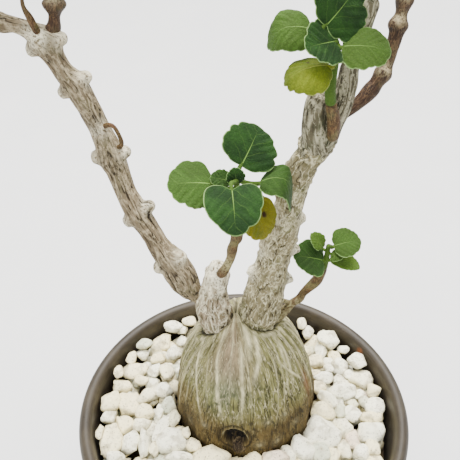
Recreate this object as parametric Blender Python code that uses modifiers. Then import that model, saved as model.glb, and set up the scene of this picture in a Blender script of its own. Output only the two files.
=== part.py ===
"""A potted plectranthus: a caudex plant in a round stoneware pot, top-dressed with pumice.

Lengths are metres, +Z is up, and the origin is on the ground at the pot's axis. Rows that
describe the plant are in millimetres, drawn as if it stood in the pot's middle; grown() makes
it its real size and moves it to where it stands, a little behind the middle.
"""

import math

import bmesh
import bpy
import numpy as np
from mathutils import Matrix, Vector

MM = 0.001
GAP = 0.3 * MM  # kept between pieces that touch
WALL_GAP = 0.5 * MM  # to the pot's inside, whose flats lie inside the true circle
WELD = 0.001 * MM

# Pot
POT_HEIGHT = 80 * MM
POT_RADIUS = 60 * MM
LIP_WIDTH = 4.6 * MM
FOOT_RADIUS = 45 * MM
FOOT_WIDTH = 6 * MM
FOOT_HEIGHT = 3 * MM
FLOOR_TOP = 8 * MM
INNER_LOW = 14 * MM  # heights between which the inside wall is straight
INNER_HIGH = 73 * MM
DRAIN_RADIUS = 7 * MM
NOTCH_WIDTH = 8 * MM
NOTCH_ANGLES = (90, 210, 330)
ROUND_STEPS = 40  # sides of the pot and of what fills it

# Drain mesh
MESH_DISC_RADIUS = 17 * MM
MESH_DISC_THICKNESS = 0.9 * MM
MESH_HOLE = 6.4 * MM
MESH_PITCH = 8 * MM

# The plant's real size and place, from the millimetre rows below
PLANT_SCALE = 1.05
PLANT_SHIFT = (0.25, 8.9, -16.05)
AXIS = (0.25 * MM, 8.9 * MM)  # of the caudex

# Soil and pumice
SOIL_TOP = 59 * MM
ROOT_HOLE_RADIUS = 9 * MM
ROOT_HOLE_DEPTH = 29 * MM
BED_TOP = 69.5 * MM
GRAVEL_TOP = 74 * MM
MOUND = 4.5 * MM  # how much higher the pumice is against the caudex
MOUND_REACH = 18 * MM
WALL_RING = 49.2 * MM
CAUDEX_RINGS = (29.2 * MM, 37.4 * MM, 45.6 * MM, 53.8 * MM)
PEBBLE_SPACING = 9.0 * MM
PEBBLE_APART = 6.6 * MM
PEBBLE_RADII = (4.9 * MM, 6.0 * MM)
PEBBLE_JITTER = 0.9 * MM
PEBBLE_SEED = 11
CAUDEX_CLEARANCE = 1.0 * MM  # of a pebble's corners, whose edges run straight past the round caudex

# Caudex
CAUDEX_RADIUS = 25.2 * MM
CAUDEX_MIDDLE = 72.8 * MM
CAUDEX_ABOVE = 47.8 * MM
CAUDEX_BELOW = 10.5 * MM
CAUDEX_POWER = 2.17
CAUDEX_LOBES = 9
CAUDEX_LOBE_DEPTH = 0.018
SEAM_X = -3.2 * MM  # the groove over the top, between stub and trunk
SEAM_DEPTH = 2.4 * MM
SEAM_WIDTH = 2.6 * MM

BLADE_THICKNESS = 0.7 * MM
CRENATE_DEPTH = 0.13
PETIOLE_RADIUS = 0.75 * MM

# Stems, as rows of x, y, z and radius in millimetres, from root to tip
TRUNK = (
    (4.0, 0.8, 121, 4.4),
    (4.4, 0.6, 127.5, 5.6),
    (4.8, 0.2, 132, 6.5),
    (5.4, 0, 137, 6.2),
    (7.1, 1, 147, 5.7),
    (8.3, 1.5, 153.5, 4.9),
    (9.3, 2, 160, 5.2),
    (10.9, 2, 167, 4.7),
    (12.0, 2, 174, 4.2),
    (13.2, 2, 181.5, 4.3),
    (15.5, 2, 189, 3.9),
    (17.6, 2, 193, 4.1),
    (19.3, 2, 198, 4.7),
    (21.8, 2, 204, 3.8),
    (24.1, 2, 209, 3.1),
    (25.1, 2, 215, 2.7),
    (25.4, 2, 219.5, 2.3),
    (27.0, 2, 225, 1.7),
    (28.3, 2, 231.5, 1.5),
    (28.4, 2, 236, 2.3),
    (28.6, 2, 239, 1.5),
    (29.2, -1, 248, 1.4),
    (30.0, -4, 256, 1.3),
)
CUT_STUB = ((19.0, 1, 196, 4.0), (17.2, -0.3, 204, 3.3), (17.0, -1, 210, 2.6), (17.5, -1, 213, 2.2))
SIDE_BRANCH = (
    (24.6, 2.5, 205, 1.8),
    (28.4, 4, 206.7, 1.7),
    (32.1, 6, 209.8, 2.2),
    (33.8, 7, 211.9, 1.9),
    (35.3, 8, 214.1, 2.5),
    (36.2, 9, 216, 1.7),
    (37.9, 11.5, 222.8, 1.9),
    (38.4, 12.5, 225.5, 2.7),
    (39, 13.5, 228.2, 1.6),
    (39.6, 14.5, 231.5, 2.4),
    (41.1, 15.5, 234.4, 1.6),
    (46, 17, 241, 1.4),
    (52.5, 19, 245.5, 2),
    (57.5, 20, 248, 1.3),
    (65.5, 21, 253, 1.2),
)
STUB = (
    (-8.8, 0.8, 120, 3.8),
    (-9.2, 0.6, 126, 4.8),
    (-10.0, 0.2, 130.5, 5.5),
    (-10.6, 0, 135, 5.0),
    (-10.3, 0, 140.3, 4.2),
    (-9.5, 0, 144.7, 3.8),
    (-8.9, 0, 149, 3.4),
    (-8.6, 0, 151.6, 2.2),
)
LEFT_BRANCH = (
    (-12, 0, 134.5, 1.9),
    (-15.3, 0.5, 137.3, 1.9),
    (-16.8, 1, 139.3, 3.2),
    (-18.9, 2, 142.3, 4.4),
    (-20.9, 3, 146.2, 4.8),
    (-23.7, 4.5, 150.4, 4.2),
    (-26.8, 6, 154.1, 3.4),
    (-30, 8, 159.8, 3.2),
    (-33.1, 9.5, 164.7, 3.6),
    (-36.3, 11.5, 171.2, 3.1),
    (-38.4, 13.5, 177.8, 3.3),
    (-40.2, 14.5, 182.8, 3.9),
    (-42.4, 16.5, 189.4, 3.1),
    (-45.6, 18.5, 197, 3.1),
    (-49, 20, 203.7, 3.5),
    (-51.6, 20.5, 207.2, 2.9),
    (-53.6, 21, 211.3, 2.9),
    (-55.9, 21.5, 216.2, 4.2),
    (-59.3, 21.5, 219.3, 2.6),
    (-62.8, 21, 221.3, 2),
    (-66.6, 20.5, 222.4, 2.6),
    (-69.4, 20, 225, 1.9),
    (-70.4, 19.5, 231, 1.5),
    (-70.4, 19, 238, 1.3),
)
LEFT_SHOOT = (
    (-55.1, 21.5, 216.1, 2.6),
    (-53, 22, 219.9, 2.1),
    (-52.3, 22.5, 223.4, 1.7),
    (-52, 23, 226.3, 3.3),
    (-51.7, 23.5, 228.9, 1.9),
    (-50.6, 24, 235, 1.5),
    (-49.6, 24, 243, 1.2),
)
DEAD_TWIG_LEFT = (
    (-56.5, 20.5, 217.2, 1.0),
    (-57.9, 18.5, 224.3, 1.0),
    (-59, 18, 227.8, 0.6),
    (-59, 18, 231, 0.5),
)
DEAD_TWIG_RIGHT = (
    (-42.6, 17, 191.2, 0.9),
    (-38.5, 13, 194.3, 0.6),
    (-36.6, 12.5, 190.8, 0.6),
    (-36.6, 13.3, 187.2, 0.7),
    (-39.4, 14.6, 185.2, 0.8),
)
TRUNK_TWIG = (
    (21.9, 0.5, 200.5, 1.5),
    (22.1, -3, 202, 1.7),
    (21.6, -4, 208, 1.7),
    (20.6, -4.8, 212, 1.5),
)
STUB_TWIG = (
    (-8.6, 0, 149, 1.7),
    (-7.1, -3, 152, 1.5),
    (-4.9, -5, 159.4, 1.3),
    (-4.4, -5.5, 163.3, 1.6),
    (-3.8, -6, 166.5, 1.4),
    (-3.0, -7, 170.1, 1.8),
    (-3.0, -7.8, 174.5, 1.4),
)
LOW_TWIG = (
    (8.0, 1, 124.5, 2.2),
    (12.8, 3, 128.4, 1.6),
    (15.3, 4, 131.1, 1.3),
    (17.7, 5, 132.2, 1.4),
    (19.0, 5, 135.2, 1.3),
    (22.3, 5, 139.8, 1.8),
    (23.6, 4.5, 143.4, 1.6),
    (24.2, 4, 146.6, 1.4),
)
LOW_SPUR = ((8.5, 2, 134.5, 0.9), (11.5, 3, 133.6, 0.7), (15.0, 4, 131.1, 0.8))
TAPROOT = ((0, 0, 79, 8), (0, 0, 72, 7), (0.5, 0, 62, 5.2), (1, 0, 54, 3.4), (0.5, 0.5, 47, 1.6))
ROOT_SCAR = ((-1.9, -15, 93.5, 2.8), (-2.2, -24.1, 90.4, 2.6))

# Swollen nodes and old bud scars, each a short spindle laid across its stem
NODE_KNOBS = (
    ((-19.9, 2, 154.0, 1.6), (-21.9, 3.5, 150.1, 3.7), (-27.1, 3.5, 148.0, 2.0)),
    ((-36.3, 9, 162.0, 1.9), (-33.1, 9.5, 164.7, 3.3), (-29.6, 9.5, 167.6, 1.9)),
    ((-45.1, 14.5, 182.2, 1.9), (-40.2, 14.5, 182.8, 3.4), (-35.9, 14.5, 184.1, 1.8)),
    ((-53.2, 20, 200.4, 1.8), (-49.0, 20, 203.7, 3.2), (-45.5, 20, 205.9, 1.8)),
    ((-60.1, 21, 213.5, 1.9), (-55.8, 21.3, 216.4, 3.4), (-51.2, 21, 217.1, 1.9)),
    ((2.0, 1, 149.0, 1.6), (7.1, 1, 147, 4.6), (13.0, 1, 145.4, 1.5)),
    ((5.0, 1.5, 158.8, 1.2), (9.3, 2, 158, 4.4), (14.6, 2, 157.0, 1.3)),
    ((16.4, 2, 169.2, 1.2), (12.0, 2, 170, 3.8), (8.0, 1.5, 171.6, 1.1)),
    ((7.8, -22.0, 103.0, 1.2), (9.5, -15.5, 103, 2.4), (13.6, -19.0, 105.0, 1.2)),
)

WOOD_STEMS = (
    TRUNK,
    CUT_STUB,
    SIDE_BRANCH,
    STUB,
    LEFT_BRANCH,
    LEFT_SHOOT,
    DEAD_TWIG_LEFT,
    DEAD_TWIG_RIGHT,
    TRUNK_TWIG,
    STUB_TWIG,
    LOW_TWIG,
    LOW_SPUR,
    TAPROOT,
    ROOT_SCAR,
    *NODE_KNOBS,
)

# Leaves: base, tip, width, upward normal, arch of the midrib as a share of the length, and the
# angles in degrees by which the near and the far half are folded up from the midrib
TRUNK_LEAVES = (
    ((14.6, -4.4, 232.6), (3.0, -6.4, 232.4), 11, (0.1, -0.35, 0.93), 0.16, -20, 10),
    ((20.0, -8.3, 231.8), (12.0, -13.6, 232.8), 12.0, (0.22, -0.62, 0.75), 0.05, 8, 8),
    ((16.3, -8.4, 235.0), (24.9, 2, 241.0), 15.8, (0.52, -0.69, 0.50), 0.06, 6, 6),
    ((20.8, -9, 230.7), (32.6, -12, 231.3), 12.6, (-0.15, -0.43, 0.89), 0.08, -4, -10),
)
TRUNK_YELLOW_LEAF = ((18.8, -10.6, 226.6), (7.2, -14.6, 225.2), 11.6, (-0.05, -0.3, 0.95), 0.12, -25, -18)
STUB_LEAVES = (
    ((-2.4, -7.2, 194.4), (2.9, 3, 200.8), 16.4, (0.38, -0.57, 0.73), 0.06, 5, 5),
    ((-9.2, -9, 190.2), (-21.6, -12, 192.2), 14.8, (0.25, -0.39, 0.89), 0.08, -6, -6),
    ((-4.7, -12, 192.7), (-3.5, -24.4, 185.2), 15.6, (0.08, -0.51, 0.86), 0.07, 6, 6),
    ((3.0, -8, 190.0), (14.0, -10, 188.6), 11, (0.16, 0.02, 0.98), 0.24, -24, 10),
    ((-4.6, -8.8, 191.8), (-9.4, -9, 193.8), 5.0, (-0.1, -0.55, 0.83), 0.06, 10, 10),
    ((-3.2, -8.8, 192.2), (-2.6, -6.6, 196.0), 4.6, (0.1, -0.8, 0.55), 0.06, 12, 12),
)
STUB_YELLOW_LEAF = ((0.2, -5.4, 183.2), (4.8, -8.4, 170.2), 11.4, (0.50, -0.80, 0.33), 0.10, 4, 4)
LOW_LEAVES = (
    ((24.2, 2.6, 151.3), (14.2, 0, 155.8), 12.2, (0.52, -0.38, 0.77), 0.06, 5, 5),
    ((26.4, 3.6, 156.4), (35.2, 5, 157.6), 10.8, (-0.01, -0.28, 0.96), 0.06, 6, 6),
    ((26.0, 3.0, 151.5), (35.4, 2, 149.0), 7.2, (0.26, -0.10, 0.96), 0.08, 8, 8),
    ((23.6, 4.0, 155.4), (19.6, 5.6, 160.0), 5.6, (0.3, -0.5, 0.8), 0.05, 10, 10),
    ((26.0, 2.4, 154.6), (29.6, 0.0, 155.2), 5.2, (0.1, -0.5, 0.86), 0.05, 10, 10),
)

# Green stems that carry those leaves, in rows like the woody ones
TRUNK_GREEN_STEM = (
    (20.3, -5.0, 213.4, 1.4),
    (19.8, -5.6, 218, 1.4),
    (20.2, -5.8, 224, 1.1),
    (20.4, -6.6, 229, 0.9),
    (19, -7.4, 232, 0.8),
)
STUB_GREEN_STEM = (
    (-3.0, -8.0, 175.7, 1.3),
    (-3.4, -8.5, 182.7, 1.0),
    (-3.3, -8.6, 188, 0.9),
    (-3.0, -8.6, 191.5, 0.8),
)
LOW_GREEN_STEM = (
    (24.4, 3.8, 147.8, 1.2),
    (24.8, 3.4, 151.3, 1.0),
    (25.0, 3.2, 154.6, 0.8),
    (25.0, 3.2, 157, 0.7),
)

# Feet of the two yellow leaves' stalks, a gap away from the green stems
TRUNK_YELLOW_FOOT = (19.83, -7.5, 225.8)
STUB_YELLOW_FOOT = (-2.2, -7.45, 183.8)

# Leafy tips beyond the photograph: foot of the green stem, its direction, leaf length
UNSEEN_TIPS = {
    "leaves_left_arm": ((-70.4, 18.9, 239.2), (-0.1, -0.1, 1), 11.5),
    "leaves_left_shoot": ((-49.5, 24, 244.2), (0.1, 0.1, 1), 10.5),
    "leaves_trunk_top": ((30.1, -4.3, 257.2), (0.1, -0.2, 1), 12.5),
    "leaves_side_branch": ((66.6, 21.1, 253.8), (0.5, 0.1, 0.84), 13),
}
TIP_PAIRS = 3
TIP_STEM_LENGTH = 12.0
TIP_OUTLINE_POINTS = 12
SMALL_LEAF = 6.5

MATERIALS = {
    # colour, roughness, metallic
    "stoneware": ((0.17, 0.135, 0.105), 0.42, 0.0),
    "mesh_plastic": ((0.02, 0.06, 0.03), 0.5, 0.0),
    "soil": ((0.045, 0.03, 0.02), 0.95, 0.0),
    "pumice": ((0.80, 0.76, 0.66), 0.9, 0.0),
    "bark": ((0.30, 0.26, 0.17), 0.85, 0.0),
    "leaf_green": ((0.055, 0.15, 0.035), 0.6, 0.0),
    "leaf_yellow": ((0.20, 0.22, 0.03), 0.6, 0.0),
}


def grown(rows):
    """Rows of x, y, z, and a radius where they have one, made real size, moved into place, in metres."""
    rows = np.array(rows, float) * PLANT_SCALE
    rows[..., :3] += PLANT_SHIFT
    return rows * MM


def clear_scene():
    for obj in list(bpy.data.objects):
        bpy.data.objects.remove(obj, do_unlink=True)


def new_collection(name):
    collection = bpy.data.collections.new(name)
    bpy.context.scene.collection.children.link(collection)
    return collection


def make_material(name):
    colour, roughness, metallic = MATERIALS[name]
    material = bpy.data.materials.new(name)
    material.use_nodes = True
    shader = material.node_tree.nodes["Principled BSDF"]
    shader.inputs["Base Color"].default_value = (*colour, 1)
    shader.inputs["Roughness"].default_value = roughness
    shader.inputs["Metallic"].default_value = metallic
    return material


def add_object(name, data, collection):
    obj = bpy.data.objects.new(name, data)
    collection.objects.link(obj)
    return obj


def object_from_bmesh(name, shape, collection):
    mesh = bpy.data.meshes.new(name)
    shape.to_mesh(mesh)
    shape.free()
    return add_object(name, mesh, collection)


def baked(obj, weld=WELD):
    """The object with its modifiers, or its curve, made one mesh in place, with its caps welded."""
    graph = bpy.context.evaluated_depsgraph_get()
    mesh = bpy.data.meshes.new_from_object(obj.evaluated_get(graph))
    if weld:
        shape = bmesh.new()
        shape.from_mesh(mesh)
        bmesh.ops.remove_doubles(shape, verts=shape.verts, dist=weld)
        shape.to_mesh(mesh)
        shape.free()
    collection = obj.users_collection[0]
    name = obj.name
    matrix = obj.matrix_world.copy()
    bpy.data.objects.remove(obj, do_unlink=True)
    made = add_object(name, mesh, collection)
    made.matrix_world = matrix
    return made


def finish(obj, material_name, angle=50):
    """Gives the object its one material and shades it smooth up to the angle."""
    obj.data.materials.clear()
    obj.data.materials.append(bpy.data.materials.get(material_name) or make_material(material_name))
    if obj.type == "MESH":
        obj.data.shade_smooth()
        obj.data.set_sharp_from_angle(angle=math.radians(angle))
    return obj


def turned(name, profile, steps, collection):
    """The solid that a profile of (radius, height) points makes when turned about the Z axis."""
    mesh = bpy.data.meshes.new(name)
    points = [(radius, 0, height) for radius, height in profile]
    closed = profile[0][0] > 0 or profile[-1][0] > 0
    edges = [(i, i + 1) for i in range(len(points) - 1)]
    if closed:
        edges.append((len(points) - 1, 0))
    mesh.from_pydata(points, edges, [])
    obj = add_object(name, mesh, collection)
    screw = obj.modifiers.new("turn", "SCREW")
    screw.steps = steps
    screw.render_steps = steps
    screw.use_merge_vertices = True
    screw.merge_threshold = 0.0001
    return obj


def tube(name, rows, collection, bevel_resolution=3):
    """A stem: a poly curve through rows of x, y, z and radius in metres, with filled ends."""
    curve = bpy.data.curves.new(name, "CURVE")
    curve.dimensions = "3D"
    curve.bevel_depth = 1
    curve.bevel_resolution = bevel_resolution
    curve.use_fill_caps = True
    spline = curve.splines.new("POLY")
    spline.points.add(len(rows) - 1)
    for point, (x, y, z, radius) in zip(spline.points, rows):
        point.co = (x, y, z, 1)
        point.radius = radius
    return baked(add_object(name, curve, collection))


def united(name, collection, target):
    """One mesh from all of a collection's objects, which are then removed."""
    first, *others = collection.objects[:]
    if others:
        rest = bpy.data.collections.new(name + "_rest")
        for obj in others:
            collection.objects.unlink(obj)
            rest.objects.link(obj)
        union = first.modifiers.new("union", "BOOLEAN")
        union.operation = "UNION"
        union.operand_type = "COLLECTION"
        union.collection = rest
        union.solver = "MANIFOLD"
    made = baked(first, weld=0)
    if others:
        for obj in list(rest.objects):
            bpy.data.objects.remove(obj, do_unlink=True)
        bpy.data.collections.remove(rest)
    made.name = name
    collection.objects.unlink(made)
    target.objects.link(made)
    bpy.data.collections.remove(collection)
    return made


def cut(obj, cutter):
    difference = obj.modifiers.new("cut_" + cutter.name, "BOOLEAN")
    difference.operation = "DIFFERENCE"
    difference.object = cutter
    cutter.hide_render = True
    cutter.display_type = "WIRE"


def inner_radius(height):
    """The pot's inside radius at a height, straight from the floor's rim to under the lip."""
    share = (height - INNER_LOW) / (INNER_HIGH - INNER_LOW)
    low_radius = FOOT_RADIUS - 1 * MM
    return low_radius + share * (POT_RADIUS - LIP_WIDTH - 1.2 * MM - low_radius)


def pot_profile():
    """Round the wall from the crest of the lip, down the outside, under the foot and up the inside."""
    top = POT_HEIGHT
    r = POT_RADIUS
    return (
        (r - 2.8 * MM, top),
        (r - 1.1 * MM, top - 0.7 * MM),
        (r - 0.1 * MM, top - 2.2 * MM),
        (r, top - 4.2 * MM),
        (r - 0.6 * MM, top - 7.5 * MM),
        (r - 1.6 * MM, top - 12 * MM),
        (r - 4.0 * MM, top - 30 * MM),
        (FOOT_RADIUS + 6 * MM, 22 * MM),
        (FOOT_RADIUS + 2.6 * MM, 8 * MM),
        (FOOT_RADIUS + 0.8 * MM, 3 * MM),
        (FOOT_RADIUS, 0),
        (FOOT_RADIUS - FOOT_WIDTH, 0),
        (FOOT_RADIUS - FOOT_WIDTH - 1 * MM, FOOT_HEIGHT),
        (DRAIN_RADIUS, FOOT_HEIGHT),
        (DRAIN_RADIUS, FLOOR_TOP),
        (FOOT_RADIUS - 5 * MM, FLOOR_TOP),
        (inner_radius(INNER_LOW), INNER_LOW),
        (inner_radius(INNER_HIGH), INNER_HIGH),
        (r - LIP_WIDTH - 0.4 * MM, top - 3 * MM),
        (r - LIP_WIDTH, top - 1 * MM),
    )


def make_pot(parts, cutters):
    pot = turned("pot", pot_profile(), ROUND_STEPS, parts)
    for angle in NOTCH_ANGLES:
        shape = bmesh.new()
        bmesh.ops.create_cube(shape, size=1)
        turn = Matrix.Rotation(math.radians(angle), 4, "Z")
        size = Matrix.Diagonal((FOOT_WIDTH * 2.6, NOTCH_WIDTH, FOOT_HEIGHT * 1.5, 1))
        place = Matrix.Translation((FOOT_RADIUS - FOOT_WIDTH / 2, 0, 0))
        shape.transform(turn @ place @ size)
        cut(pot, object_from_bmesh(f"notch_{angle}", shape, cutters))
    return finish(pot, "stoneware", 40)


def make_drain_mesh(parts):
    """A disc with a square grid of holes, made of crossing bars inside a flat ring."""
    pieces = new_collection("drain_mesh_pieces")
    low = FLOOR_TOP + GAP
    ring = (
        (MESH_DISC_RADIUS, low + MESH_DISC_THICKNESS),
        (MESH_DISC_RADIUS, low),
        (MESH_DISC_RADIUS - 2 * MM, low),
        (MESH_DISC_RADIUS - 2 * MM, low + MESH_DISC_THICKNESS),
    )
    baked(turned("ring", ring, 28, pieces))
    bar = MESH_PITCH - MESH_HOLE
    reach = MESH_DISC_RADIUS - 1 * MM
    count = int(reach // MESH_PITCH)
    for i in range(-count, count + 1):
        offset = i * MESH_PITCH
        length = 2 * math.sqrt(reach**2 - offset**2)
        for size, centre in (((length, bar), (0, offset)), ((bar, length), (offset, 0))):
            shape = bmesh.new()
            bmesh.ops.create_cube(shape, size=1)
            scale = Matrix.Diagonal((size[0], size[1], MESH_DISC_THICKNESS * 0.7, 1))
            middle = low + MESH_DISC_THICKNESS / 2
            shape.transform(Matrix.Translation((*centre, middle)) @ scale)
            object_from_bmesh("bar", shape, pieces)
    return finish(united("drain_mesh", pieces, parts), "mesh_plastic", 30)


def stacked_circles(name, rows, collection):
    """A solid through circles, each a row of radius, height and its middle: 0 the pot's, 1 the plant's.

    A radius of 0 closes the solid there; where the first radius isn't 0, it is a ring.
    """
    shape = bmesh.new()
    circles = []
    for radius, height, moved in rows:
        middle = Vector((AXIS[0] * moved, AXIS[1] * moved, height))
        if radius == 0:
            circles.append([shape.verts.new(middle)] * ROUND_STEPS)
            continue
        turns = [math.tau * i / ROUND_STEPS for i in range(ROUND_STEPS)]
        edge = [Vector((math.cos(turn), math.sin(turn), 0)) * radius for turn in turns]
        circles.append([shape.verts.new(middle + point) for point in edge])
    if rows[0][0] > 0:
        circles.append(circles[0])
    for low, high in zip(circles, circles[1:]):
        for i in range(ROUND_STEPS):
            j = (i + 1) % ROUND_STEPS
            shape.faces.new(dict.fromkeys((low[i], low[j], high[j], high[i])))
    bmesh.ops.recalc_face_normals(shape, faces=shape.faces)
    bmesh.ops.triangulate(shape, faces=shape.faces)
    return object_from_bmesh(name, shape, collection)


def make_soil(parts):
    """Fills the pot up to the pumice, round a plain blind hole for the taproot."""
    low = FLOOR_TOP + 2 * GAP + MESH_DISC_THICKNESS
    hole = SOIL_TOP - ROOT_HOLE_DEPTH
    rows = (
        (0, hole, 1),
        (ROOT_HOLE_RADIUS * 0.5, hole, 1),
        (ROOT_HOLE_RADIUS, SOIL_TOP, 1),
        (inner_radius(SOIL_TOP) - WALL_GAP, SOIL_TOP, 0),
        (inner_radius(16 * MM) - WALL_GAP, 16 * MM, 0),
        (FOOT_RADIUS - 7 * MM, low, 0),
        (0, low, 0),
    )
    return finish(stacked_circles("potting_soil", rows, parts), "soil")


def caudex_radius(height):
    """The caudex's plain radius at a height, without its lobes."""
    if height >= CAUDEX_MIDDLE:
        share = min((height - CAUDEX_MIDDLE) / CAUDEX_ABOVE, 1)
        return CAUDEX_RADIUS * (1 - share**CAUDEX_POWER) ** (1 / CAUDEX_POWER)
    share = min((CAUDEX_MIDDLE - height) / CAUDEX_BELOW, 1)
    return CAUDEX_RADIUS * math.sqrt(1 - share**2)


def pebble_spots(rng):
    """Spots in a ring at the wall, then in rings round the caudex where there is still room."""
    spots = []
    circles = [(WALL_RING, 0), *((ring, 1) for ring in CAUDEX_RINGS)]
    for number, (ring, moved) in enumerate(circles):
        count = round(math.tau * ring / PEBBLE_SPACING)
        for i in range(count):
            angle = math.tau * (i + 0.5 * (number % 2)) / count
            x, y = rng.uniform(-PEBBLE_JITTER, PEBBLE_JITTER, 2)
            x += AXIS[0] * moved + ring * math.cos(angle)
            y += AXIS[1] * moved + ring * math.sin(angle)
            inside = not moved or math.hypot(x, y) < WALL_RING
            if inside and all(math.dist((x, y), spot) > PEBBLE_APART for spot in spots):
                spots.append((x, y))
    return spots


def pebble_places(rng):
    """Places and sizes for the pebbles, which are heaped a little against the caudex."""
    placed = []
    for x, y in pebble_spots(rng):
        radius = rng.uniform(*PEBBLE_RADII)
        away = math.dist((x, y), AXIS) - CAUDEX_RADIUS
        heap = MOUND * max(1 - away / MOUND_REACH, 0)
        z = GRAVEL_TOP + heap - rng.uniform(0.75, 1.05) * radius
        placed.append((Vector((x, y, z)), radius))
    return placed


def keep_in_bed(point):
    """The point moved sideways where it would meet the pot's wall or the caudex."""
    from_axis = Vector((point.x - AXIS[0], point.y - AXIS[1]))
    clear = caudex_radius(point.z) + CAUDEX_CLEARANCE
    if from_axis.length < clear:
        from_axis *= clear / from_axis.length
    x, y = from_axis.x + AXIS[0], from_axis.y + AXIS[1]
    share = min((inner_radius(point.z) - WALL_GAP) / math.hypot(x, y), 1)
    return Vector((x * share, y * share, point.z))


def make_pumice(parts):
    """The bed under the pebbles and the pebbles themselves, fused into one body."""
    pieces = new_collection("pumice_pieces")
    low = SOIL_TOP + GAP
    rows = (
        (inner_radius(BED_TOP) - WALL_GAP, BED_TOP, 0),
        (inner_radius(low) - WALL_GAP, low, 0),
        (ROOT_HOLE_RADIUS, low, 1),
        (caudex_radius(BED_TOP) + 3 * MM, BED_TOP, 1),
        (CAUDEX_RADIUS + 3.5 * MM, BED_TOP + MOUND / 2, 1),
    )
    stacked_circles("bed", rows, pieces)
    rng = np.random.default_rng(PEBBLE_SEED)
    for centre, radius in pebble_places(rng):
        shape = bmesh.new()
        bmesh.ops.create_icosphere(shape, subdivisions=1, radius=radius)
        stretch = Matrix.Diagonal((*rng.uniform(0.84, 1.04, 2), rng.uniform(0.76, 0.94), 1))
        spin = Matrix.Rotation(rng.uniform(0, math.tau), 4, "Z")
        lean = Matrix.Rotation(rng.uniform(-0.6, 0.6), 4, "X")
        for vertex in shape.verts:
            vertex.co *= rng.uniform(0.86, 1.10)
        shape.transform(Matrix.Translation(centre) @ spin @ lean @ stretch)
        for vertex in shape.verts:
            vertex.co = keep_in_bed(vertex.co)
        object_from_bmesh("pebble", shape, pieces)
    return finish(united("pumice_bed", pieces, parts), "pumice", 20)


def caudex_point(direction):
    """Where a unit sphere's point lies on the caudex: barrel profile, lobes and the seam on top."""
    x, y, up = direction
    flat = math.hypot(x, y)
    if up > 0:
        power = 2 / CAUDEX_POWER
        radius = CAUDEX_RADIUS * flat**power
        height = CAUDEX_ABOVE * up**power
    else:
        radius = CAUDEX_RADIUS * flat
        height = CAUDEX_BELOW * up
    angle = math.atan2(y, x)
    radius *= 1 + CAUDEX_LOBE_DEPTH * math.cos(CAUDEX_LOBES * angle + 0.8 * math.sin(2 * angle)) * flat
    x, y = (radius * x / flat, radius * y / flat) if flat > 1e-9 else (0, 0)
    seam = math.exp(-(((x - SEAM_X) / SEAM_WIDTH) ** 2)) * max(height / CAUDEX_ABOVE - 0.72, 0) / 0.28
    return Vector((AXIS[0] + x, AXIS[1] + y, CAUDEX_MIDDLE + height - SEAM_DEPTH * seam))


def make_caudex(pieces):
    shape = bmesh.new()
    bmesh.ops.create_uvsphere(shape, u_segments=32, v_segments=16, radius=1)
    for vertex in shape.verts:
        vertex.co = caudex_point(vertex.co.normalized())
    return object_from_bmesh("caudex", shape, pieces)


def make_wood(parts):
    """The caudex with every woody stem on it, grown as one piece."""
    pieces = new_collection("wood_pieces")
    make_caudex(pieces)
    for number, stem in enumerate(WOOD_STEMS):
        thick = max(row[3] for row in stem) > 3
        tube(f"stem_{number}", grown(stem), pieces, 3 if thick else 1)
    return finish(united("caudex_wood", pieces, parts), "bark")


def leaf_outline(points, teeth):
    """Points round a crenate leaf: share of length along the midrib, and of the half width across."""
    turn = np.arange(points) / points * math.tau
    lobe = 1 - CRENATE_DEPTH * (1 - np.abs(np.sin(teeth * turn / 2 + math.pi / 2)))
    along = 0.5 + 0.5 * np.cos(turn) * lobe
    across = np.sin(turn) * (1 - 0.16 * np.cos(turn)) * lobe
    return along, across


def blade(name, leaf, collection, points=20):
    """A thin solid leaf: rings round the middle of the outline, arched and folded at the midrib."""
    base, tip, width, normal, arch, near_fold, far_fold = leaf
    base, tip = (Vector(grown(end)) for end in (base, tip))
    half_width = width * PLANT_SCALE * MM / 2
    length = (tip - base).length
    along_axis = (tip - base).normalized()
    up_axis = Vector(normal)
    up_axis = (up_axis - up_axis.dot(along_axis) * along_axis).normalized()
    across_axis = up_axis.cross(along_axis)
    near_sign = 1 if across_axis.y < 0 else -1
    along, across = leaf_outline(points, points // 2)
    sizes = (0.55, 1) if points > TIP_OUTLINE_POINTS else (1,)
    shape = bmesh.new()

    def place(s, v):
        fold = math.radians(near_fold if v * near_sign > 0 else far_fold)
        side = v * half_width
        height = length * arch * 4 * s * (1 - s) + abs(side) * math.sin(fold)
        return base + along_axis * (s * length) + across_axis * (side * math.cos(fold)) + up_axis * height

    hub = shape.verts.new(place(0.45, 0))
    rings = []
    for size in sizes:
        ring = [place(0.45 + (s - 0.45) * size, v * size) for s, v in zip(along, across)]
        rings.append([shape.verts.new(point) for point in ring])
    for i in range(points):
        j = (i + 1) % points
        shape.faces.new((hub, rings[0][i], rings[0][j]))
        for inner, outer in zip(rings, rings[1:]):
            shape.faces.new((inner[i], outer[i], outer[j]))
            shape.faces.new((inner[i], outer[j], inner[j]))
    obj = object_from_bmesh(name, shape, collection)
    solidify = obj.modifiers.new("thickness", "SOLIDIFY")
    solidify.thickness = BLADE_THICKNESS
    solidify.offset = 0
    return baked(obj)


def petiole(name, root, leaf, collection):
    """A short stalk from the stem into the leaf's blade."""
    start = np.asarray(root, float)
    base, tip = (np.asarray(end, float) for end in leaf[:2])
    end = base + 0.22 * (tip - base)
    rows = [(*point, PETIOLE_RADIUS / MM) for point in (start, base, end)]
    return tube(name, grown(rows), collection, 0)


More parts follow.
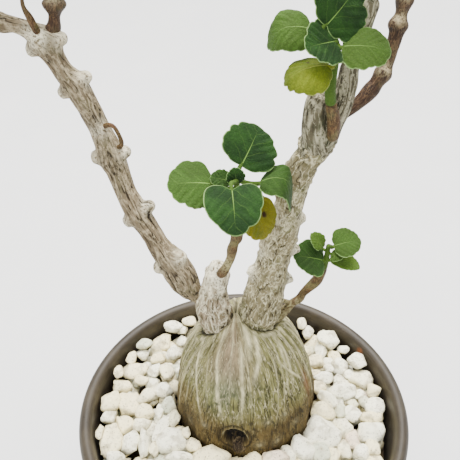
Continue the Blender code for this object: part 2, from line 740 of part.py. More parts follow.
def make_leafy_stem(name, stem, leaves, parts, points=20):
    """One node: a green stem, given as rows from foot to apex, with its stalked leaves."""
    pieces = new_collection(name + "_pieces")
    tube("green_stem", grown(stem), pieces, 1)
    nodes = np.asarray(stem, float)[:, :3]
    for number, leaf in enumerate(leaves):
        base = np.asarray(leaf[0], float)
        root = nodes[np.argmin(np.linalg.norm(nodes[1:] - base, axis=1)) + 1]
        small = (Vector(leaf[1]) - Vector(leaf[0])).length < SMALL_LEAF
        blade(f"blade_{number}", leaf, pieces, TIP_OUTLINE_POINTS if small else points)
        petiole(f"petiole_{number}", root, leaf, pieces)
    return finish(united(name, pieces, parts), "leaf_green", 60)


def tip_leaves(foot, direction, length, turn):
    """The stem rows and the leaves of a tip, in crossed pairs that shorten towards the apex."""
    axis = Vector(direction).normalized()
    sideways = axis.orthogonal().normalized()
    stem = []
    leaves = []
    foot = Vector(foot)
    for pair in range(TIP_PAIRS + 1):
        level = foot + axis * TIP_STEM_LENGTH * pair / TIP_PAIRS
        stem.append((*level, 1.2 - 0.15 * pair))
        if pair == 0:
            continue
        size = length * (1.0, 0.8, 0.45)[pair - 1]
        rise = (0.10, 0.35, 0.8)[pair - 1]
        for side in (0, 1):
            spin = Matrix.Rotation(turn + pair * math.pi / 2 + side * math.pi, 3, axis)
            out = (spin @ sideways + axis * rise).normalized()
            up = (axis - axis.dot(out) * out).normalized()
            start = level + out * (0.22 * size + 0.8)
            leaves.append((tuple(start), tuple(start + out * size), size * 0.96, tuple(up), 0.08, -6, -6))
    return stem, leaves


def make_leaves(parts):
    make_leafy_stem("leaves_trunk", TRUNK_GREEN_STEM, TRUNK_LEAVES, parts)
    make_leafy_stem("leaves_stub", STUB_GREEN_STEM, STUB_LEAVES, parts)
    make_leafy_stem("leaves_low", LOW_GREEN_STEM, LOW_LEAVES, parts)
    for number, (name, (foot, direction, length)) in enumerate(UNSEEN_TIPS.items()):
        stem, leaves = tip_leaves(foot, direction, length, 0.5 + number)
        make_leafy_stem(name, stem, leaves, parts, TIP_OUTLINE_POINTS)


def make_yellow_leaf(name, foot, leaf, parts):
    """A fading leaf, one body with its stalk, which ends a gap away from the stem."""
    pieces = new_collection(name + "_pieces")
    blade("blade", leaf, pieces)
    petiole("petiole", foot, leaf, pieces)
    finish(united(name, pieces, parts), "leaf_yellow", 60)


def main():
    clear_scene()
    parts = new_collection("potted_plectranthus")
    cutters = new_collection("cutters")
    make_pot(parts, cutters)
    make_drain_mesh(parts)
    make_soil(parts)
    make_pumice(parts)
    make_wood(parts)
    make_leaves(parts)
    make_yellow_leaf("yellow_leaf_trunk", TRUNK_YELLOW_FOOT, TRUNK_YELLOW_LEAF, parts)
    make_yellow_leaf("yellow_leaf_stub", STUB_YELLOW_FOOT, STUB_YELLOW_LEAF, parts)


main()
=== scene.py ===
"""Looks of the potted plectranthus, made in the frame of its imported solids.

Lengths are metres and +Z is up. Rows that were read off the plant are in millimetres and pass
through millimetres(). Every surface is worked out with numpy as a function of two parameters.
"""

import logging
import math
from dataclasses import dataclass, field
from enum import Enum
from typing import Iterable, Sequence

import bpy
import numpy as np
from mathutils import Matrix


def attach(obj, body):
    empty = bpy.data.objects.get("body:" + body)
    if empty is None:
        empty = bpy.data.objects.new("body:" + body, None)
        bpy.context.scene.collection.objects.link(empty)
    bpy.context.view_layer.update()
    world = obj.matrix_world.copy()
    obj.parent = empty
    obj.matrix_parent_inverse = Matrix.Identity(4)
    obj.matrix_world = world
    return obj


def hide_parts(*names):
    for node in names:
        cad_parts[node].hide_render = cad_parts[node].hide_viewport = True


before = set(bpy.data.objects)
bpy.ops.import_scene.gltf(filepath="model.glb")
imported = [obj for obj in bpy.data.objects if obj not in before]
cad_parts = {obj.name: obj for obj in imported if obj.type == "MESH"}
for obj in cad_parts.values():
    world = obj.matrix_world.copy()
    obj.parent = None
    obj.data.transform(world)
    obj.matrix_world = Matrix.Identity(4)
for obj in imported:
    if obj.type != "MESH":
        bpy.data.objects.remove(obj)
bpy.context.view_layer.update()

MM = 0.001
TAU = math.tau
PLANT_SCALE = 1.05
PLANT_SHIFT = (0.25, 8.9, -16.05)
LOG = logging.getLogger("plectranthus")

Colour = tuple[float, float, float]
Row = tuple[float, float, float, float]
Point = tuple[float, float, float]
Socket = bpy.types.NodeSocket


# Numbers and noise


def millimetres(values: Sequence) -> np.ndarray:
    """The same numbers as an array in metres."""
    return np.asarray(values, float) * MM


def paint(red: float, green: float, blue: float) -> Colour:
    """A colour given as screen values from 0 to 255, made linear.

    Args:
        red: Red as shown on a screen.
        green: Green as shown on a screen.
        blue: Blue as shown on a screen.

    Returns:
        The linear colour that a shader takes.
    """
    screen = np.array((red, green, blue)) / 255
    low = screen / 12.92
    high = ((screen + 0.055) / 1.055) ** 2.4
    return tuple(float(value) for value in np.where(screen <= 0.04045, low, high))


def unit(vectors: np.ndarray) -> np.ndarray:
    """The vectors, each divided by its length."""
    return vectors / np.maximum(np.linalg.norm(vectors, axis=-1, keepdims=True), 1e-12)


def ease(low: float, high: float, values: np.ndarray) -> np.ndarray:
    """0 below low, 1 above high, and 3t squared minus 2t cubed between them."""
    share = np.clip((values - low) / (high - low), 0, 1)
    return share * share * (3 - 2 * share)


def cell_values(cells: np.ndarray, seed: int) -> np.ndarray:
    """A repeatable value from 0 to 1 for each whole-number cell of space.

    The coordinates are multiplied by large odd numbers and added, and the sum's bits are folded
    over each other twice.

    Args:
        cells: Whole numbers, three to a cell.
        seed: Chooses another set of values.

    Returns:
        One value a cell.
    """
    parts = (cells.astype(np.int64) & 0xFFFFFFFF).astype(np.uint64)
    factors = np.array((374761393, 668265263, 2147483629), np.uint64)
    mixed = np.sum(parts * factors, axis=-1) + np.uint64(seed * 1274126177 & 0xFFFFFFFF)
    mixed = mixed & np.uint64(0xFFFFFFFF)
    mixed = (mixed ^ (mixed >> np.uint64(13))) * np.uint64(1274126177) & np.uint64(0xFFFFFFFF)
    mixed = (mixed ^ (mixed >> np.uint64(16))) * np.uint64(668265263) & np.uint64(0xFFFFFFFF)
    return (mixed >> np.uint64(8)).astype(float) / 0xFFFFFF


def noise(points: np.ndarray, size: float | Sequence[float], seed: int = 0) -> np.ndarray:
    """Soft random values from -1 to 1 whose lumps are about as wide as size.

    The values at the eight corners of a cell are blended along each axis, eased by 3t squared
    minus 2t cubed.

    Args:
        points: Places, three coordinates each.
        size: Width of a lump, or one width for each axis.
        seed: Chooses another pattern.

    Returns:
        One value a place.
    """
    grid = np.asarray(points) / np.asarray(size)
    cell = np.floor(grid)
    share = grid - cell
    share = share * share * (3 - 2 * share)
    total = np.zeros(grid.shape[:-1])
    for corner in np.ndindex(2, 2, 2):
        offset = np.array(corner)
        weight = np.prod(np.where(offset == 1, share, 1 - share), axis=-1)
        total += weight * cell_values(cell + offset, seed)
    return 2 * total - 1


def fractal(points: np.ndarray, size: float | Sequence[float], octaves: int = 3, seed: int = 0) -> np.ndarray:
    """Noise of a size, plus noise of half that size and half that strength, and so on."""
    size = np.asarray(size, float)
    return sum(0.5**n * noise(points, size * 0.5**n, seed + 17 * n) for n in range(octaves))


def nearest_spot(points: np.ndarray, size: float | Sequence[float], seed: int = 0) -> tuple[np.ndarray, np.ndarray]:
    """How far the nearest of many scattered spots is, and that spot's own value.

    Each cell of space holds one spot at a random place; the 27 cells around a point are searched.

    Args:
        points: Places, three coordinates each.
        size: Width of a cell, or one width for each axis.
        seed: Chooses another pattern.

    Returns:
        The distance in cells, and a value from 0 to 1 that belongs to the nearest spot.
    """
    grid = np.asarray(points) / np.asarray(size)
    cell = np.floor(grid)
    best = np.full(grid.shape[:-1], 9.0)
    value = np.zeros(grid.shape[:-1])
    for corner in np.ndindex(3, 3, 3):
        near = cell + np.array(corner) - 1
        spot = near + np.stack([cell_values(near, seed + k) for k in (1, 2, 3)], axis=-1)
        distance = np.linalg.norm(grid - spot, axis=-1)
        closer = distance < best
        best = np.where(closer, distance, best)
        value = np.where(closer, cell_values(near, seed + 4), value)
    return best, value


# Patches of surface


@dataclass
class Patch:
    """A closed piece of surface, and the values at its points that a finish reads."""

    points: np.ndarray
    quads: np.ndarray = field(default_factory=lambda: np.zeros((0, 4), int))
    tris: np.ndarray = field(default_factory=lambda: np.zeros((0, 3), int))
    values: dict[str, np.ndarray] = field(default_factory=dict)

    def triangles(self) -> np.ndarray:
        """All faces as triangles of point numbers."""
        halves = [self.quads[:, (0, 1, 2)], self.quads[:, (0, 2, 3)], self.tris]
        return np.concatenate(halves)

    def outward(self) -> "Patch":
        """The patch with its faces turned outwards.

        The signed volume is the sum of the tetrahedra from the origin to each triangle; where it
        is negative, the order of every face is turned round.
        """
        a, b, c = np.moveaxis(self.points[self.triangles()], 1, 0)
        if np.sum(a * np.cross(b, c)) < 0:
            self.quads = self.quads[:, ::-1]
            self.tris = self.tris[:, ::-1]
        return self


def joined(patches: Iterable[Patch]) -> Patch:
    """One patch from several; a value that a patch lacks is 0 there."""
    patches = list(patches)
    starts = np.cumsum([0] + [len(patch.points) for patch in patches])
    shapes = {name: value.shape[1:] for patch in patches for name, value in patch.values.items()}
    values = {
        name: np.concatenate([p.values.get(name, np.zeros((len(p.points), *shape))) for p in patches])
        for name, shape in shapes.items()
    }
    return Patch(
        np.concatenate([patch.points for patch in patches]),
        np.concatenate([patch.quads + start for patch, start in zip(patches, starts)]),
        np.concatenate([patch.tris + start for patch, start in zip(patches, starts)]),
        values,
    )


def closed_surface(grid: np.ndarray, values: dict[str, np.ndarray] | None = None) -> Patch:
    """The skin through a grid of points whose columns wrap round and whose ends close to poles.

    Args:
        grid: Points by row and column.
        values: Named values by row and column.

    Returns:
        The closed patch, with one pole at the middle of the first row and one at the last's.
    """
    rows, columns = grid.shape[:2]
    index = np.arange(rows * columns).reshape(rows, columns)
    right = np.roll(index, -1, axis=1)
    quads = np.stack([index[:-1], right[:-1], right[1:], index[1:]], axis=-1).reshape(-1, 4)
    first = np.full(columns, rows * columns)
    fans = [np.stack([first, right[0], index[0]], axis=-1), np.stack([first + 1, index[-1], right[-1]], axis=-1)]

    def with_poles(items: np.ndarray) -> np.ndarray:
        """The items in one row, followed by the means of the first and the last row."""
        flat = items.reshape(rows * columns, *items.shape[2:])
        return np.concatenate([flat, items[0].mean(axis=0)[None], items[-1].mean(axis=0)[None]])

    kept = {name: with_poles(items) for name, items in (values or {}).items()}
    return Patch(with_poles(grid), quads, np.concatenate(fans), kept).outward()


def ring_surface(grid: np.ndarray, values: dict[str, np.ndarray] | None = None) -> Patch:
    """The skin through a grid of points that wraps round both ways, as a turned wall does."""
    rows, columns = grid.shape[:2]
    index = np.arange(rows * columns).reshape(rows, columns)
    right = np.roll(index, -1, axis=1)
    below = np.roll(index, -1, axis=0)
    corner = np.roll(right, -1, axis=0)
    quads = np.stack([index, right, corner, below], axis=-1).reshape(-1, 4)
    kept = {name: items.reshape(rows * columns, *items.shape[2:]) for name, items in (values or {}).items()}
    return Patch(grid.reshape(-1, 3), quads, values=kept).outward()


def grown(patch: Patch) -> Patch:
    """A patch drawn about the pot's axis, made the plant's real size and moved to where it stands."""
    patch.points = patch.points * PLANT_SCALE + millimetres(PLANT_SHIFT)
    return patch


def add_piece(
    name: str, patch: Patch, material: bpy.types.Material, nodes: Sequence[str] = ()
) -> bpy.types.Object:
    """Makes a patch an object that rides on the root and stands for the nodes it replaces.

    Args:
        name: The piece's name.
        patch: Its closed surface.
        material: Its finish.
        nodes: The solids that it replaces.

    Returns:
        The object, at the origin, with its place in its mesh.
    """
    mesh = bpy.data.meshes.new(name)
    mesh.vertices.add(len(patch.points))
    mesh.vertices.foreach_set("co", patch.points.astype(np.float32).ravel())
    corners = np.concatenate([patch.quads.ravel(), patch.tris.ravel()]).astype(np.int32)
    quad_starts = np.arange(len(patch.quads)) * 4
    tri_starts = len(patch.quads) * 4 + np.arange(len(patch.tris)) * 3
    starts = np.concatenate([quad_starts, tri_starts]).astype(np.int32)
    mesh.loops.add(len(corners))
    mesh.loops.foreach_set("vertex_index", corners)
    mesh.polygons.add(len(starts))
    mesh.polygons.foreach_set("loop_start", starts)
    mesh.update(calc_edges=True)
    for label, items in patch.values.items():
        kind = "FLOAT_VECTOR" if items.ndim == 2 else "FLOAT"
        attribute = mesh.attributes.new(label, kind, "POINT")
        attribute.data.foreach_set("vector" if items.ndim == 2 else "value", items.astype(np.float32).ravel())
    mesh.shade_smooth()
    mesh.materials.append(material)
    piece = bpy.data.objects.new(name, mesh)
    bpy.context.scene.collection.objects.link(piece)
    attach(piece, "root")
    if nodes:
        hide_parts(*nodes)
    LOG.info("%s: %d triangles", name, len(patch.triangles()))
    return piece


# Shader graphs


class Graph:
    """A material's nodes, added one expression at a time."""

    def __init__(self, name: str) -> None:
        """Starts a material that holds one plain shader.

        Args:
            name: The material's name.
        """
        self.material = bpy.data.materials.new(name)
        self.material.use_nodes = True
        self.tree = self.material.node_tree
        self.shader = self.tree.nodes["Principled BSDF"]
        self.place = self.node("ShaderNodeTexCoord").outputs["Object"]

    def node(self, kind: str, **settings: object) -> bpy.types.Node:
        """A new node with its settings made."""
        made = self.tree.nodes.new(kind)
        for name, value in settings.items():
            setattr(made, name, value)
        return made

    def feed(self, socket: Socket, value: Socket | float | Sequence[float]) -> None:
        """Joins a socket to another one, or sets it to a number or colour."""
        if isinstance(value, bpy.types.NodeSocket):
            self.tree.links.new(value, socket)
        elif isinstance(value, (tuple, list)) and socket.type == "RGBA":
            socket.default_value = (*value, 1)
        else:
            socket.default_value = value

    def named(self, label: str) -> Socket:
        """The mesh attribute of that name, as a vector where it is one."""
        return self.node("ShaderNodeAttribute", attribute_name=label).outputs["Vector"]

    def level(self, label: str) -> Socket:
        """The mesh attribute of that name, as one number."""
        return self.node("ShaderNodeAttribute", attribute_name=label).outputs["Fac"]

    def stretched(self, vector: Socket, scale: Sequence[float]) -> Socket:
        """The vector with each axis multiplied by its own number."""
        mapping = self.node("ShaderNodeMapping")
        mapping.inputs["Scale"].default_value = scale
        self.feed(mapping.inputs["Vector"], vector)
        return mapping.outputs["Vector"]

    def grain(self, vector: Socket, size_mm: float, detail: float = 3, rough: float = 0.55, warp: float = 0) -> Socket:
        """Noise from 0 to 1 whose lumps are about size_mm across."""
        texture = self.node("ShaderNodeTexNoise")
        self.feed(texture.inputs["Vector"], vector)
        texture.inputs["Scale"].default_value = 1000 / size_mm
        texture.inputs["Detail"].default_value = detail
        texture.inputs["Roughness"].default_value = rough
        texture.inputs["Distortion"].default_value = warp
        return texture.outputs["Fac"]

    def cells(self, vector: Socket, size_mm: float, feature: str = "F1") -> Socket:
        """Distance to the nearest scattered spot, or to the edge between two of them."""
        texture = self.node("ShaderNodeTexVoronoi", feature=feature)
        self.feed(texture.inputs["Vector"], vector)
        texture.inputs["Scale"].default_value = 1000 / size_mm
        return texture.outputs["Distance"]

    def shifted(self, vector: Socket, distance: float) -> Socket:
        """The vector moved aside, so that the same texture gives another pattern."""
        mapping = self.node("ShaderNodeMapping")
        mapping.inputs["Location"].default_value = (distance, 0.7 * distance, 0.3 * distance)
        self.feed(mapping.inputs["Vector"], vector)
        return mapping.outputs["Vector"]

    def lines(self, vector: Socket, size_mm: float, width: float) -> Socket:
        """Thin winding lines, 1 on the line: where noise of that size passes through its middle value."""
        away = self.math("ABSOLUTE", self.math("SUBTRACT", self.grain(vector, size_mm, 2, 0.5), 0.5))
        return self.between(away, width, 0.25 * width)

    def math(self, operation: str, first: Socket | float, second: Socket | float = 0.0, clamp: bool = False) -> Socket:
        """One step of arithmetic."""
        made = self.node("ShaderNodeMath", operation=operation, use_clamp=clamp)
        self.feed(made.inputs[0], first)
        self.feed(made.inputs[1], second)
        return made.outputs[0]

    def between(self, value: Socket, low: float, high: float) -> Socket:
        """0 at low, 1 at high, eased between; low may be the larger."""
        made = self.node("ShaderNodeMapRange", interpolation_type="SMOOTHSTEP")
        self.feed(made.inputs["Value"], value)
        made.inputs["From Min"].default_value = min(low, high)
        made.inputs["From Max"].default_value = max(low, high)
        made.inputs["To Min"].default_value = 0.0 if low < high else 1.0
        made.inputs["To Max"].default_value = 1.0 if low < high else 0.0
        return made.outputs["Result"]

    def blend(self, factor: Socket | float, first: Socket | Colour, second: Socket | Colour) -> Socket:
        """The first colour where the factor is 0 and the second where it is 1."""
        made = self.node("ShaderNodeMix", data_type="RGBA")
        self.feed(made.inputs["Factor"], factor)
        self.feed(made.inputs[6], first)
        self.feed(made.inputs[7], second)
        return made.outputs[2]

    def shaded(self, colour: Socket, factor: Socket, low: float, high: float) -> Socket:
        """The colour made darker or lighter: times low where the factor is 0, times high where 1."""
        lift = self.node("ShaderNodeMapRange", interpolation_type="LINEAR")
        self.feed(lift.inputs["Value"], factor)
        lift.inputs["To Min"].default_value = low
        lift.inputs["To Max"].default_value = high
        scale = self.node("ShaderNodeVectorMath", operation="SCALE")
        self.feed(scale.inputs[0], colour)
        self.feed(scale.inputs["Scale"], lift.outputs["Result"])
        return scale.outputs[0]

    def bumped(self, height: Socket, depth_mm: float, normal: Socket | None = None, strength: float = 1.0) -> Socket:
        """The normal that a relief of that depth gives."""
        made = self.node("ShaderNodeBump")
        made.inputs["Distance"].default_value = depth_mm * MM
        made.inputs["Strength"].default_value = strength
        self.feed(made.inputs["Height"], height)
        if normal is not None:
            self.feed(made.inputs["Normal"], normal)
        return made.outputs["Normal"]

    def finish(
        self, colour: Socket, rough: Socket | float, normal: Socket | None = None, **constants: float | Colour
    ) -> bpy.types.Material:
        """Feeds the shader and gives back the finished material.

        Args:
            colour: The base colour.
            rough: The roughness.
            normal: The bumped normal.
            constants: Further shader sockets by name, with underscores for spaces.

        Returns:
            The material.
        """
        self.feed(self.shader.inputs["Base Color"], colour)
        self.feed(self.shader.inputs["Roughness"], rough)
        if normal is not None:
            self.feed(self.shader.inputs["Normal"], normal)
        for name, value in constants.items():
            self.feed(self.shader.inputs[name.replace("_", " ")], value)
        return self.material


# Finishes


@dataclass(frozen=True)
class StonewareFinish:
    """Unglazed brown stoneware with a satin surface, fine turning rings and small iron specks, with painted shade down
    the inside.
    """

    clay: Colour = paint(44, 38, 28)
    pale: Colour = paint(58, 51, 39)
    deep: Colour = paint(30, 25, 18)
    # Painted shade: the inside's darker brown, and below it the near black shadow by the pumice.
    inner: Colour = paint(27, 21, 14)
    inside_shadow: Colour = paint(20, 15, 10)
    speck: Colour = paint(24, 18, 12)
    rust: Colour = paint(150, 78, 30)
    smear: Point = (47.5, 30.0, 76.5)

    def material(self) -> bpy.types.Material:
        """The stoneware material, which paints shade down the inside, darker the further down a place is."""
        graph = Graph("stoneware")
        cloud = graph.grain(graph.place, 12, 4)
        colour = graph.blend(graph.between(cloud, 0.36, 0.66), self.clay, self.pale)
        rings = graph.grain(graph.stretched(graph.place, (0.04, 0.04, 1)), 0.55, 2)
        colour = graph.blend(graph.math("MULTIPLY", graph.between(rings, 0.50, 0.36), 0.35), colour, self.deep)
        fine = graph.grain(graph.place, 0.5, 3)
        inside = graph.level("inside")
        # Painted shade: the inside darkens down the wall towards the pumice.
        colour = graph.blend(graph.between(inside, 0.02, 0.16), colour, self.inner)
        colour = graph.blend(graph.between(inside, 0.10, 0.9), colour, self.inside_shadow)
        colour = graph.shaded(colour, fine, 0.74, 1.26)
        specks = graph.cells(graph.place, 2.3)
        colour = graph.blend(graph.between(specks, 0.14, 0.06), colour, self.speck)
        offset = graph.node("ShaderNodeVectorMath", operation="DISTANCE")
        graph.feed(offset.inputs[0], graph.place)
        offset.inputs[1].default_value = millimetres(self.smear)
        reach = graph.math("ADD", offset.outputs["Value"], graph.math("MULTIPLY", fine, 0.0016))
        colour = graph.blend(graph.math("MULTIPLY", graph.between(reach, 0.0036, 0.0016), 0.6), colour, self.rust)
        rough = graph.math("ADD", graph.math("MULTIPLY", cloud, 0.3), 0.38)
        normal = graph.bumped(rings, 0.05)
        normal = graph.bumped(fine, 0.05, normal)
        return graph.finish(colour, rough, normal, Specular_IOR_Level=0.3)


@dataclass(frozen=True)
class PlasticMeshFinish:
    """Dark green moulded plastic, faintly brushed by grit."""

    green: Colour = paint(24, 48, 32)
    worn: Colour = paint(54, 78, 60)

    def material(self) -> bpy.types.Material:
        """The drain mesh's material."""
        graph = Graph("mesh_plastic")
        wear = graph.grain(graph.place, 2.2, 4)
        colour = graph.blend(graph.between(wear, 0.5, 0.72), self.green, self.worn)
        rough = graph.math("ADD", graph.math("MULTIPLY", wear, 0.35), 0.32)
        return graph.finish(colour, rough, graph.bumped(graph.grain(graph.place, 0.4), 0.03))


@dataclass(frozen=True)
class SoilFinish:
    """Dark crumbly potting soil with pale grit."""

    dark: Colour = paint(28, 21, 15)
    crumb: Colour = paint(70, 54, 40)
    grit: Colour = paint(190, 180, 156)

    def material(self) -> bpy.types.Material:
        """The soil's material."""
        graph = Graph("soil")
        crumbs = graph.grain(graph.place, 2.5, 5, 0.65)
        colour = graph.blend(graph.between(crumbs, 0.4, 0.65), self.dark, self.crumb)
        colour = graph.blend(graph.between(graph.cells(graph.place, 4), 0.16, 0.10), colour, self.grit)
        return graph.finish(colour, 0.95, graph.bumped(crumbs, 1.2), Specular_IOR_Level=0.2)


@dataclass(frozen=True)
class PumiceFinish:
    """Creamy white pumice: fine pores, chalky faces, and a tint that each stone has of its own."""

    white: Colour = paint(253, 249, 222)
    cream: Colour = paint(251, 238, 190)
    grey: Colour = paint(212, 214, 186)
    pink: Colour = paint(240, 220, 192)
    pore: Colour = paint(104, 94, 72)
    shade: Colour = paint(178, 168, 138)
    gap_shade: Colour = paint(58, 48, 34)

    def material(self) -> bpy.types.Material:
        """The pumice's material, which reads each stone's tint and its pits, and paints shade from its depth in the
        bed.
        """
        graph = Graph("pumice")
        tint = graph.level("tint")
        colour = graph.blend(graph.between(tint, 0.30, 0.75), self.white, self.cream)
        colour = graph.blend(graph.between(tint, 0.86, 0.92), colour, self.grey)
        colour = graph.blend(graph.between(tint, 0.965, 0.975), colour, self.pink)
        stain = graph.grain(graph.place, 3.5, 4)
        colour = graph.blend(graph.math("MULTIPLY", graph.between(stain, 0.50, 0.66), 0.7), colour, self.shade)
        pores = graph.cells(graph.place, 0.8)
        fine = graph.grain(graph.place, 0.5, 4, 0.7)
        holes = graph.math("MULTIPLY", graph.between(pores, 0.36, 0.14), graph.between(fine, 0.44, 0.58))
        holes = graph.math("MAXIMUM", holes, graph.math("MULTIPLY", graph.level("hole"), 0.6))
        colour = graph.blend(graph.math("MULTIPLY", holes, 0.7), colour, self.pore)
        colour = graph.shaded(colour, graph.grain(graph.place, 1.2, 4, 0.65), 0.84, 1.12)
        # Painted shade: stones darken low in the bed and on their lower sides, and the bed under them is all shade.
        colour = graph.blend(graph.level("depth"), colour, self.gap_shade)
        height = graph.math("SUBTRACT", graph.grain(graph.place, 1.0, 5, 0.75), graph.math("MULTIPLY", holes, 0.7))
        return graph.finish(colour, 0.95, graph.bumped(height, 0.55), Specular_IOR_Level=0.12)


@dataclass(frozen=True)
class BarkFinish:
    """Bark read from a stem's own coordinates: a pale network over darker wood, pits, crust, moss."""

    name: str
    base: Colour
    pale: Colour
    dark: Colour
    shade: Colour
    crust: Colour = paint(226, 218, 190)
    moss: Colour = paint(112, 120, 74)
    moss_amount: float = 0.35
    net_mm: float = 2.6
    stretch: float = 0.3
    net_amount: float = 0.8
    crack_amount: float = 0.9
    relief_mm: float = 0.25
    rough: float = 0.88

    def material(self) -> bpy.types.Material:
        """The bark's material."""
        graph = Graph(self.name)
        bark = graph.named("bark")
        along = graph.stretched(bark, (1, 1, self.stretch))
        net = graph.lines(along, self.net_mm, 0.036)
        second = graph.lines(graph.shifted(along, 7.3), 0.6 * self.net_mm, 0.030)
        cracks = graph.lines(graph.shifted(along, 3.1), 1.2 * self.net_mm, 0.024)
        cloud = graph.grain(bark, 4.5, 4)
        fine = graph.grain(graph.stretched(bark, (1, 1, 0.6)), 0.55, 3, 0.7)
        colour = graph.blend(graph.between(cloud, 0.40, 0.60), self.base, self.shade)
        patches = graph.between(graph.grain(graph.shifted(bark, 1.7), 6.5, 4), 0.50, 0.66)
        colour = graph.blend(graph.math("MULTIPLY", patches, self.moss_amount), colour, self.moss)
        colour = graph.blend(graph.math("MULTIPLY", cracks, self.crack_amount), colour, self.dark)
        pale = graph.math("MAXIMUM", net, graph.math("MULTIPLY", second, 0.8))
        pale = graph.math("MAXIMUM", graph.math("MULTIPLY", pale, self.net_amount), graph.level("ridge"))
        colour = graph.blend(graph.math("MULTIPLY", pale, graph.between(fine, 0.34, 0.50)), colour, self.pale)
        crusty = graph.math("MULTIPLY", graph.level("crust"), graph.between(fine, 0.36, 0.52))
        colour = graph.blend(crusty, colour, self.crust)
        colour = graph.shaded(colour, fine, 0.66, 1.34)
        colour = graph.shaded(colour, graph.grain(graph.shifted(bark, 4.4), 2.2, 3), 0.70, 1.30)
        colour = graph.blend(graph.level("pit"), colour, self.dark)
        height = graph.math("ADD", graph.math("MULTIPLY", pale, 0.5), fine)
        height = graph.math("SUBTRACT", height, graph.math("MULTIPLY", cracks, 0.6))
        return graph.finish(colour, self.rough, graph.bumped(height, self.relief_mm), Specular_IOR_Level=0.18)


@dataclass(frozen=True)
class CaudexFinish:
    """Skin of the caudex: pale fibres and dark fissures that run down it, a calm patch, a brown foot, and painted shade
    at its bottom and in its creases.
    """

    green: Colour = paint(110, 107, 64)
    pink: Colour = paint(126, 110, 84)
    blue: Colour = paint(88, 95, 72)
    olive: Colour = paint(80, 66, 36)
    rib: Colour = paint(220, 210, 166)
    tan: Colour = paint(130, 114, 72)
    fissure: Colour = paint(38, 34, 20)
    scar: Colour = paint(20, 15, 10)
    rust: Colour = paint(104, 54, 28)
    moss: Colour = paint(30, 40, 24)
    bottom_shade: Colour = paint(34, 26, 14)

    def material(self) -> bpy.types.Material:
        """The caudex's material."""
        graph = Graph("caudex_skin")
        skin = graph.named("skin")
        along = graph.stretched(skin, (1, 1, 0.14))
        fibres = graph.lines(along, 2.0, 0.028)
        threads = graph.lines(graph.shifted(graph.stretched(skin, (1, 1, 0.3)), 5.3), 1.7, 0.030)
        cracks = graph.lines(graph.shifted(along, 2.9), 2.0, 0.028)
        fine = graph.grain(graph.stretched(skin, (1, 1, 0.35)), 0.55, 3, 0.7)
        cloud = graph.grain(graph.place, 5, 4)
        colour = graph.blend(graph.level("top"), self.green, self.pink)
        colour = graph.blend(graph.level("foot"), colour, self.olive)
        colour = graph.blend(graph.math("MULTIPLY", graph.level("bare"), 0.75), colour, self.blue)
        colour = graph.shaded(colour, cloud, 0.66, 1.30)
        mottle = graph.grain(graph.stretched(skin, (1, 1, 0.35)), 2.0, 4, 0.65)
        colour = graph.shaded(colour, graph.between(mottle, 0.34, 0.64), 0.58, 1.34)
        wild = graph.math("SUBTRACT", 1.0, graph.math("MULTIPLY", graph.level("calm"), 0.72))
        dark = graph.math("MULTIPLY", graph.math("MULTIPLY", cracks, wild), 0.85)
        colour = graph.blend(dark, colour, self.fissure)
        light = graph.math("MAXIMUM", graph.math("MULTIPLY", fibres, wild), graph.math("MULTIPLY", threads, 0.75))
        light = graph.math("MULTIPLY", light, graph.between(fine, 0.40, 0.54))
        fibre_colour = graph.blend(graph.level("foot"), self.rib, self.tan)
        colour = graph.blend(graph.math("MULTIPLY", light, 0.62), colour, fibre_colour)
        ribs = graph.math("MULTIPLY", graph.level("rib"), graph.between(fine, 0.22, 0.40))
        colour = graph.blend(ribs, colour, self.rib)
        colour = graph.blend(graph.math("MULTIPLY", graph.level("damp"), 0.75), colour, self.moss)
        colour = graph.blend(graph.math("MULTIPLY", graph.level("rust"), 0.7), colour, self.rust)
        # Painted shade at the bottom and low on the left.
        colour = graph.blend(graph.math("MULTIPLY", graph.level("bottom_shade"), 0.65), colour, self.bottom_shade)
        colour = graph.shaded(colour, fine, 0.68, 1.32)
        # Dark scar tissue, with painted shade in the creases round the stems' feet, along the top seam and under the
        # root scar's lip.
        colour = graph.blend(graph.level("pit"), colour, self.scar)
        height = graph.math("ADD", graph.math("MULTIPLY", light, 0.5), fine)
        height = graph.math("SUBTRACT", height, graph.math("MULTIPLY", dark, 0.6))
        return graph.finish(colour, 0.82, graph.bumped(height, 0.45), Specular_IOR_Level=0.2)


